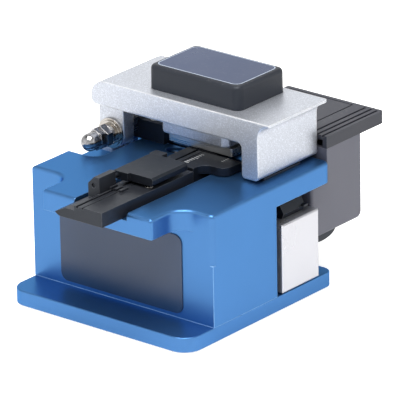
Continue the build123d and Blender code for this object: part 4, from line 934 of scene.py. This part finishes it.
@dataclass
class FibreAdapter:
    """Black adapter with its lid, and the guide plate with its scale."""

    scale_from_left: float = 6.35
    scale_from_near: float = 2.8
    scale_length: float = 7.0
    scale_slant: float = 0.35
    tick_count: int = 8
    tick_length: float = 1.0
    long_tick_length: float = 1.45
    long_tick_every: int = 4
    tick_width: float = 0.17
    ink_thickness: float = 0.03
    side_scale_from_right: float = 5.1
    side_scale_from_near: float = 9.1
    side_tick_count: int = 4
    side_tick_gap: float = 0.85
    side_tick_length: float = 0.7

    def ticks(self) -> List[Stroke]:
        """The scale's ticks, every fourth one longer, and the short row beside them.

        Returns:
            The strokes.
        """
        low, high = extent("guide_plate")
        ticks = []
        for count in range(self.tick_count):
            share = count / (self.tick_count - 1)
            x = low[0] + self.scale_from_left + share * self.scale_slant
            y = low[1] + self.scale_from_near + share * self.scale_length
            is_long = count % self.long_tick_every == 0
            ticks.append((x, y, self.long_tick_length if is_long else self.tick_length))
        for count in range(self.side_tick_count):
            y = low[1] + self.side_scale_from_near + count * self.side_tick_gap
            ticks.append((high[0] - self.side_scale_from_right, y, self.side_tick_length))
        top = high[2]
        return [Stroke((x, y, top), (x + length, y, top), self.tick_width) for x, y, length in ticks]

    def build(self) -> None:
        """Print the scale on the guide plate."""
        scale = MarkMaker.strokes("scale_marks", self.ticks(), (0, 0, 1), self.ink_thickness)
        settle(scale, "base", SCALE_INK)

    def dress(self) -> None:
        """Give the carried-over nodes their finishes."""
        SHELF.dress(ADAPTER_BLACK, "fibre_adapter")
        SHELF.dress(BLACK_ANODISED, "adapter_lid", "guide_plate")
        SHELF.dress(BRIGHT_NICKEL, "adapter_magnet", "lid_magnet")
        SHELF.dress(BLACK_ANODISED, "lid_pin")
        SHELF.dress(PAD_RUBBER, "lid_pad")


@dataclass
class ScrapBin:
    """Scrap box with the black strip under its front, its bracket and sliding lid."""

    def dress(self) -> None:
        """Give the carried-over nodes their finishes."""
        SHELF.dress(GREY_PLASTIC, "scrap_box")
        # The strip under the box's front is given the pads' black finish, darker than the box above it.
        SHELF.dress(PAD_RUBBER, "box_bumper")
        SHELF.dress(DARK_PLASTIC, "box_lid")
        SHELF.dress(BLACK_ANODISED, "box_bracket")
        SHELF.dress(BRIGHT_NICKEL, "box_screws")


# ---------------------------------------------------------------- studio


@dataclass(frozen=True)
class Lamp:
    """A soft square lamp that looks at the middle of the object."""

    name: str
    azimuth: float
    elevation: float
    watts: float
    distance: float = 0.9
    size: float = 0.8

    def hang(self, centre: Vector) -> None:
        """Put the lamp in its place.

        Args:
            centre: the point it looks at.
        """
        data = bpy.data.lights.new(self.name, "AREA")
        data.shape = "SQUARE"
        data.size = self.size
        data.energy = self.watts
        lamp = bpy.data.objects.new(self.name, data)
        turn, rise = math.radians(self.azimuth), math.radians(self.elevation)
        away = Vector((math.sin(turn) * math.cos(rise), -math.cos(turn) * math.cos(rise), math.sin(rise)))
        lamp.location = centre + away * self.distance
        lamp.rotation_euler = away.to_track_quat("Z", "Y").to_euler()
        bpy.context.scene.collection.objects.link(lamp)


@dataclass
class Studio:
    """White floor and backdrop, soft lamps and the camera."""

    centre: Point = (-1.0, -1.5, 25.0)
    floor_half: float = 3.0
    floor_drop: float = 0.00005
    floor_colour: Colour = (0.9, 0.9, 0.9)
    floor_roughness: float = 0.9
    floor_specular: float = 0.1
    camera_place: Point = (906.6, -1084.3, 584.3)
    camera_aim: Point = (6.053, 5.870, 27.823)
    camera_roll: float = -1.04
    lens: float = 488.68
    sensor: float = 36.0
    clip: Tuple[float, float] = (0.05, 20.0)
    diffuse_level: float = 0.28
    mirrored_zenith: float = 0.16
    horizon_low: float = 0.34
    horizon_high: float = 0.84
    floor_shown: float = 0.72
    floor_mirrored: float = 0.28
    lamps: Tuple[Lamp, ...] = (
        Lamp("top_softbox", azimuth=20.0, elevation=74.0, watts=12.6),
        Lamp("right_softbox", azimuth=115.0, elevation=24.0, watts=1.3),
        Lamp("front_softbox", azimuth=-35.0, elevation=24.0, watts=0.8),
        Lamp("rear_softbox", azimuth=215.0, elevation=48.0, watts=1.1),
    )

    def floor(self) -> None:
        """Lay the pale floor."""
        shape = bmesh.new()
        half = self.floor_half
        ring = [(-half, -half), (half, -half), (half, half), (-half, half)]
        shape.faces.new([shape.verts.new((x, y, -self.floor_drop)) for x, y in ring])
        ground = MarkMaker.keep("studio_floor", shape)
        material = bpy.data.materials.new("white_paper")
        material.use_nodes = True
        graph = Graph(material.node_tree)
        shader = graph.tree.nodes["Principled BSDF"]
        shader.inputs["Base Color"].default_value = (*self.floor_colour, 1.0)
        shader.inputs["Roughness"].default_value = self.floor_roughness
        shader.inputs["Specular IOR Level"].default_value = self.floor_specular
        glow = graph.add("ShaderNodeEmission")
        graph.feed(glow.inputs["Color"], WHITE)
        both = graph.add("ShaderNodeAddShader")
        graph.feed(both.inputs[0], shader.outputs[0])
        graph.feed(both.inputs[1], glow.outputs[0])
        path = graph.add("ShaderNodeLightPath")
        camera = path.outputs["Is Camera Ray"]
        graph.feed(glow.inputs["Strength"], graph.spread(camera, self.floor_mirrored, self.floor_shown))
        seen = graph.maths("MAXIMUM", camera, path.outputs["Is Glossy Ray"])
        seen = graph.maths("MAXIMUM", seen, path.outputs["Is Transmission Ray"])
        either = graph.add("ShaderNodeMixShader")
        graph.feed(either.inputs[0], seen)
        graph.feed(either.inputs[1], shader.outputs[0])
        graph.feed(either.inputs[2], both.outputs[0])
        graph.feed(graph.tree.nodes["Material Output"].inputs["Surface"], either.outputs[0])
        ground.data.materials.append(material)

    def world(self) -> None:
        """White where it is seen or mirrored, plain light elsewhere."""
        world = bpy.data.worlds.new("studio_world")
        world.use_nodes = True
        bpy.context.scene.world = world
        graph = Graph(world.node_tree)
        path = graph.add("ShaderNodeLightPath")
        seen = graph.maths("MAXIMUM", path.outputs["Is Camera Ray"], path.outputs["Is Glossy Ray"])
        seen = graph.maths("MAXIMUM", seen, path.outputs["Is Transmission Ray"])
        height = graph.add("ShaderNodeSeparateXYZ")
        graph.feed(height.inputs[0], graph.add("ShaderNodeTexCoord").outputs["Generated"])
        mirrored = graph.spread(
            height.outputs["Z"], 1.0, self.mirrored_zenith, self.horizon_low, self.horizon_high,
        )
        shown = graph.maths("MAXIMUM", path.outputs["Is Camera Ray"], mirrored)
        plain = graph.tree.nodes["Background"]
        plain.inputs["Color"].default_value = WHITE
        graph.feed(plain.inputs["Strength"], graph.spread(seen, self.diffuse_level, shown))

    def camera(self) -> None:
        """Set the camera at the photograph's angle."""
        data = bpy.data.cameras.new("camera")
        data.lens = self.lens
        data.sensor_width = self.sensor
        data.clip_start, data.clip_end = self.clip
        eye = bpy.data.objects.new("camera", data)
        place, aim = Vector(self.camera_place) * MM, Vector(self.camera_aim) * MM
        look = (aim - place).to_track_quat("-Z", "Y").to_matrix().to_4x4()
        roll = Matrix.Rotation(math.radians(self.camera_roll), 4, "Z")
        eye.matrix_world = Matrix.Translation(place) @ look @ roll
        bpy.context.scene.collection.objects.link(eye)
        bpy.context.scene.camera = eye

    def build(self) -> None:
        """Build the whole studio."""
        bpy.context.scene.view_settings.view_transform = "Standard"
        self.floor()
        self.world()
        for lamp in self.lamps:
            lamp.hang(Vector(self.centre) * MM)
        self.camera()


def main() -> None:
    """Build and dress every sub-assembly, then the studio."""
    logging.basicConfig(level=logging.INFO, format="%(message)s")
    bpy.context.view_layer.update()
    adapter, arm = FibreAdapter(), ClampArm()
    adapter.build()
    arm.build()
    for unit in (BaseUnit(), HingeHardware(), BladeCarriage(), arm, adapter, ScrapBin()):
        unit.dress()
        LOG.info("%s ready", type(unit).__name__)
    Studio().build()


if __name__ == "__main__":
    main()
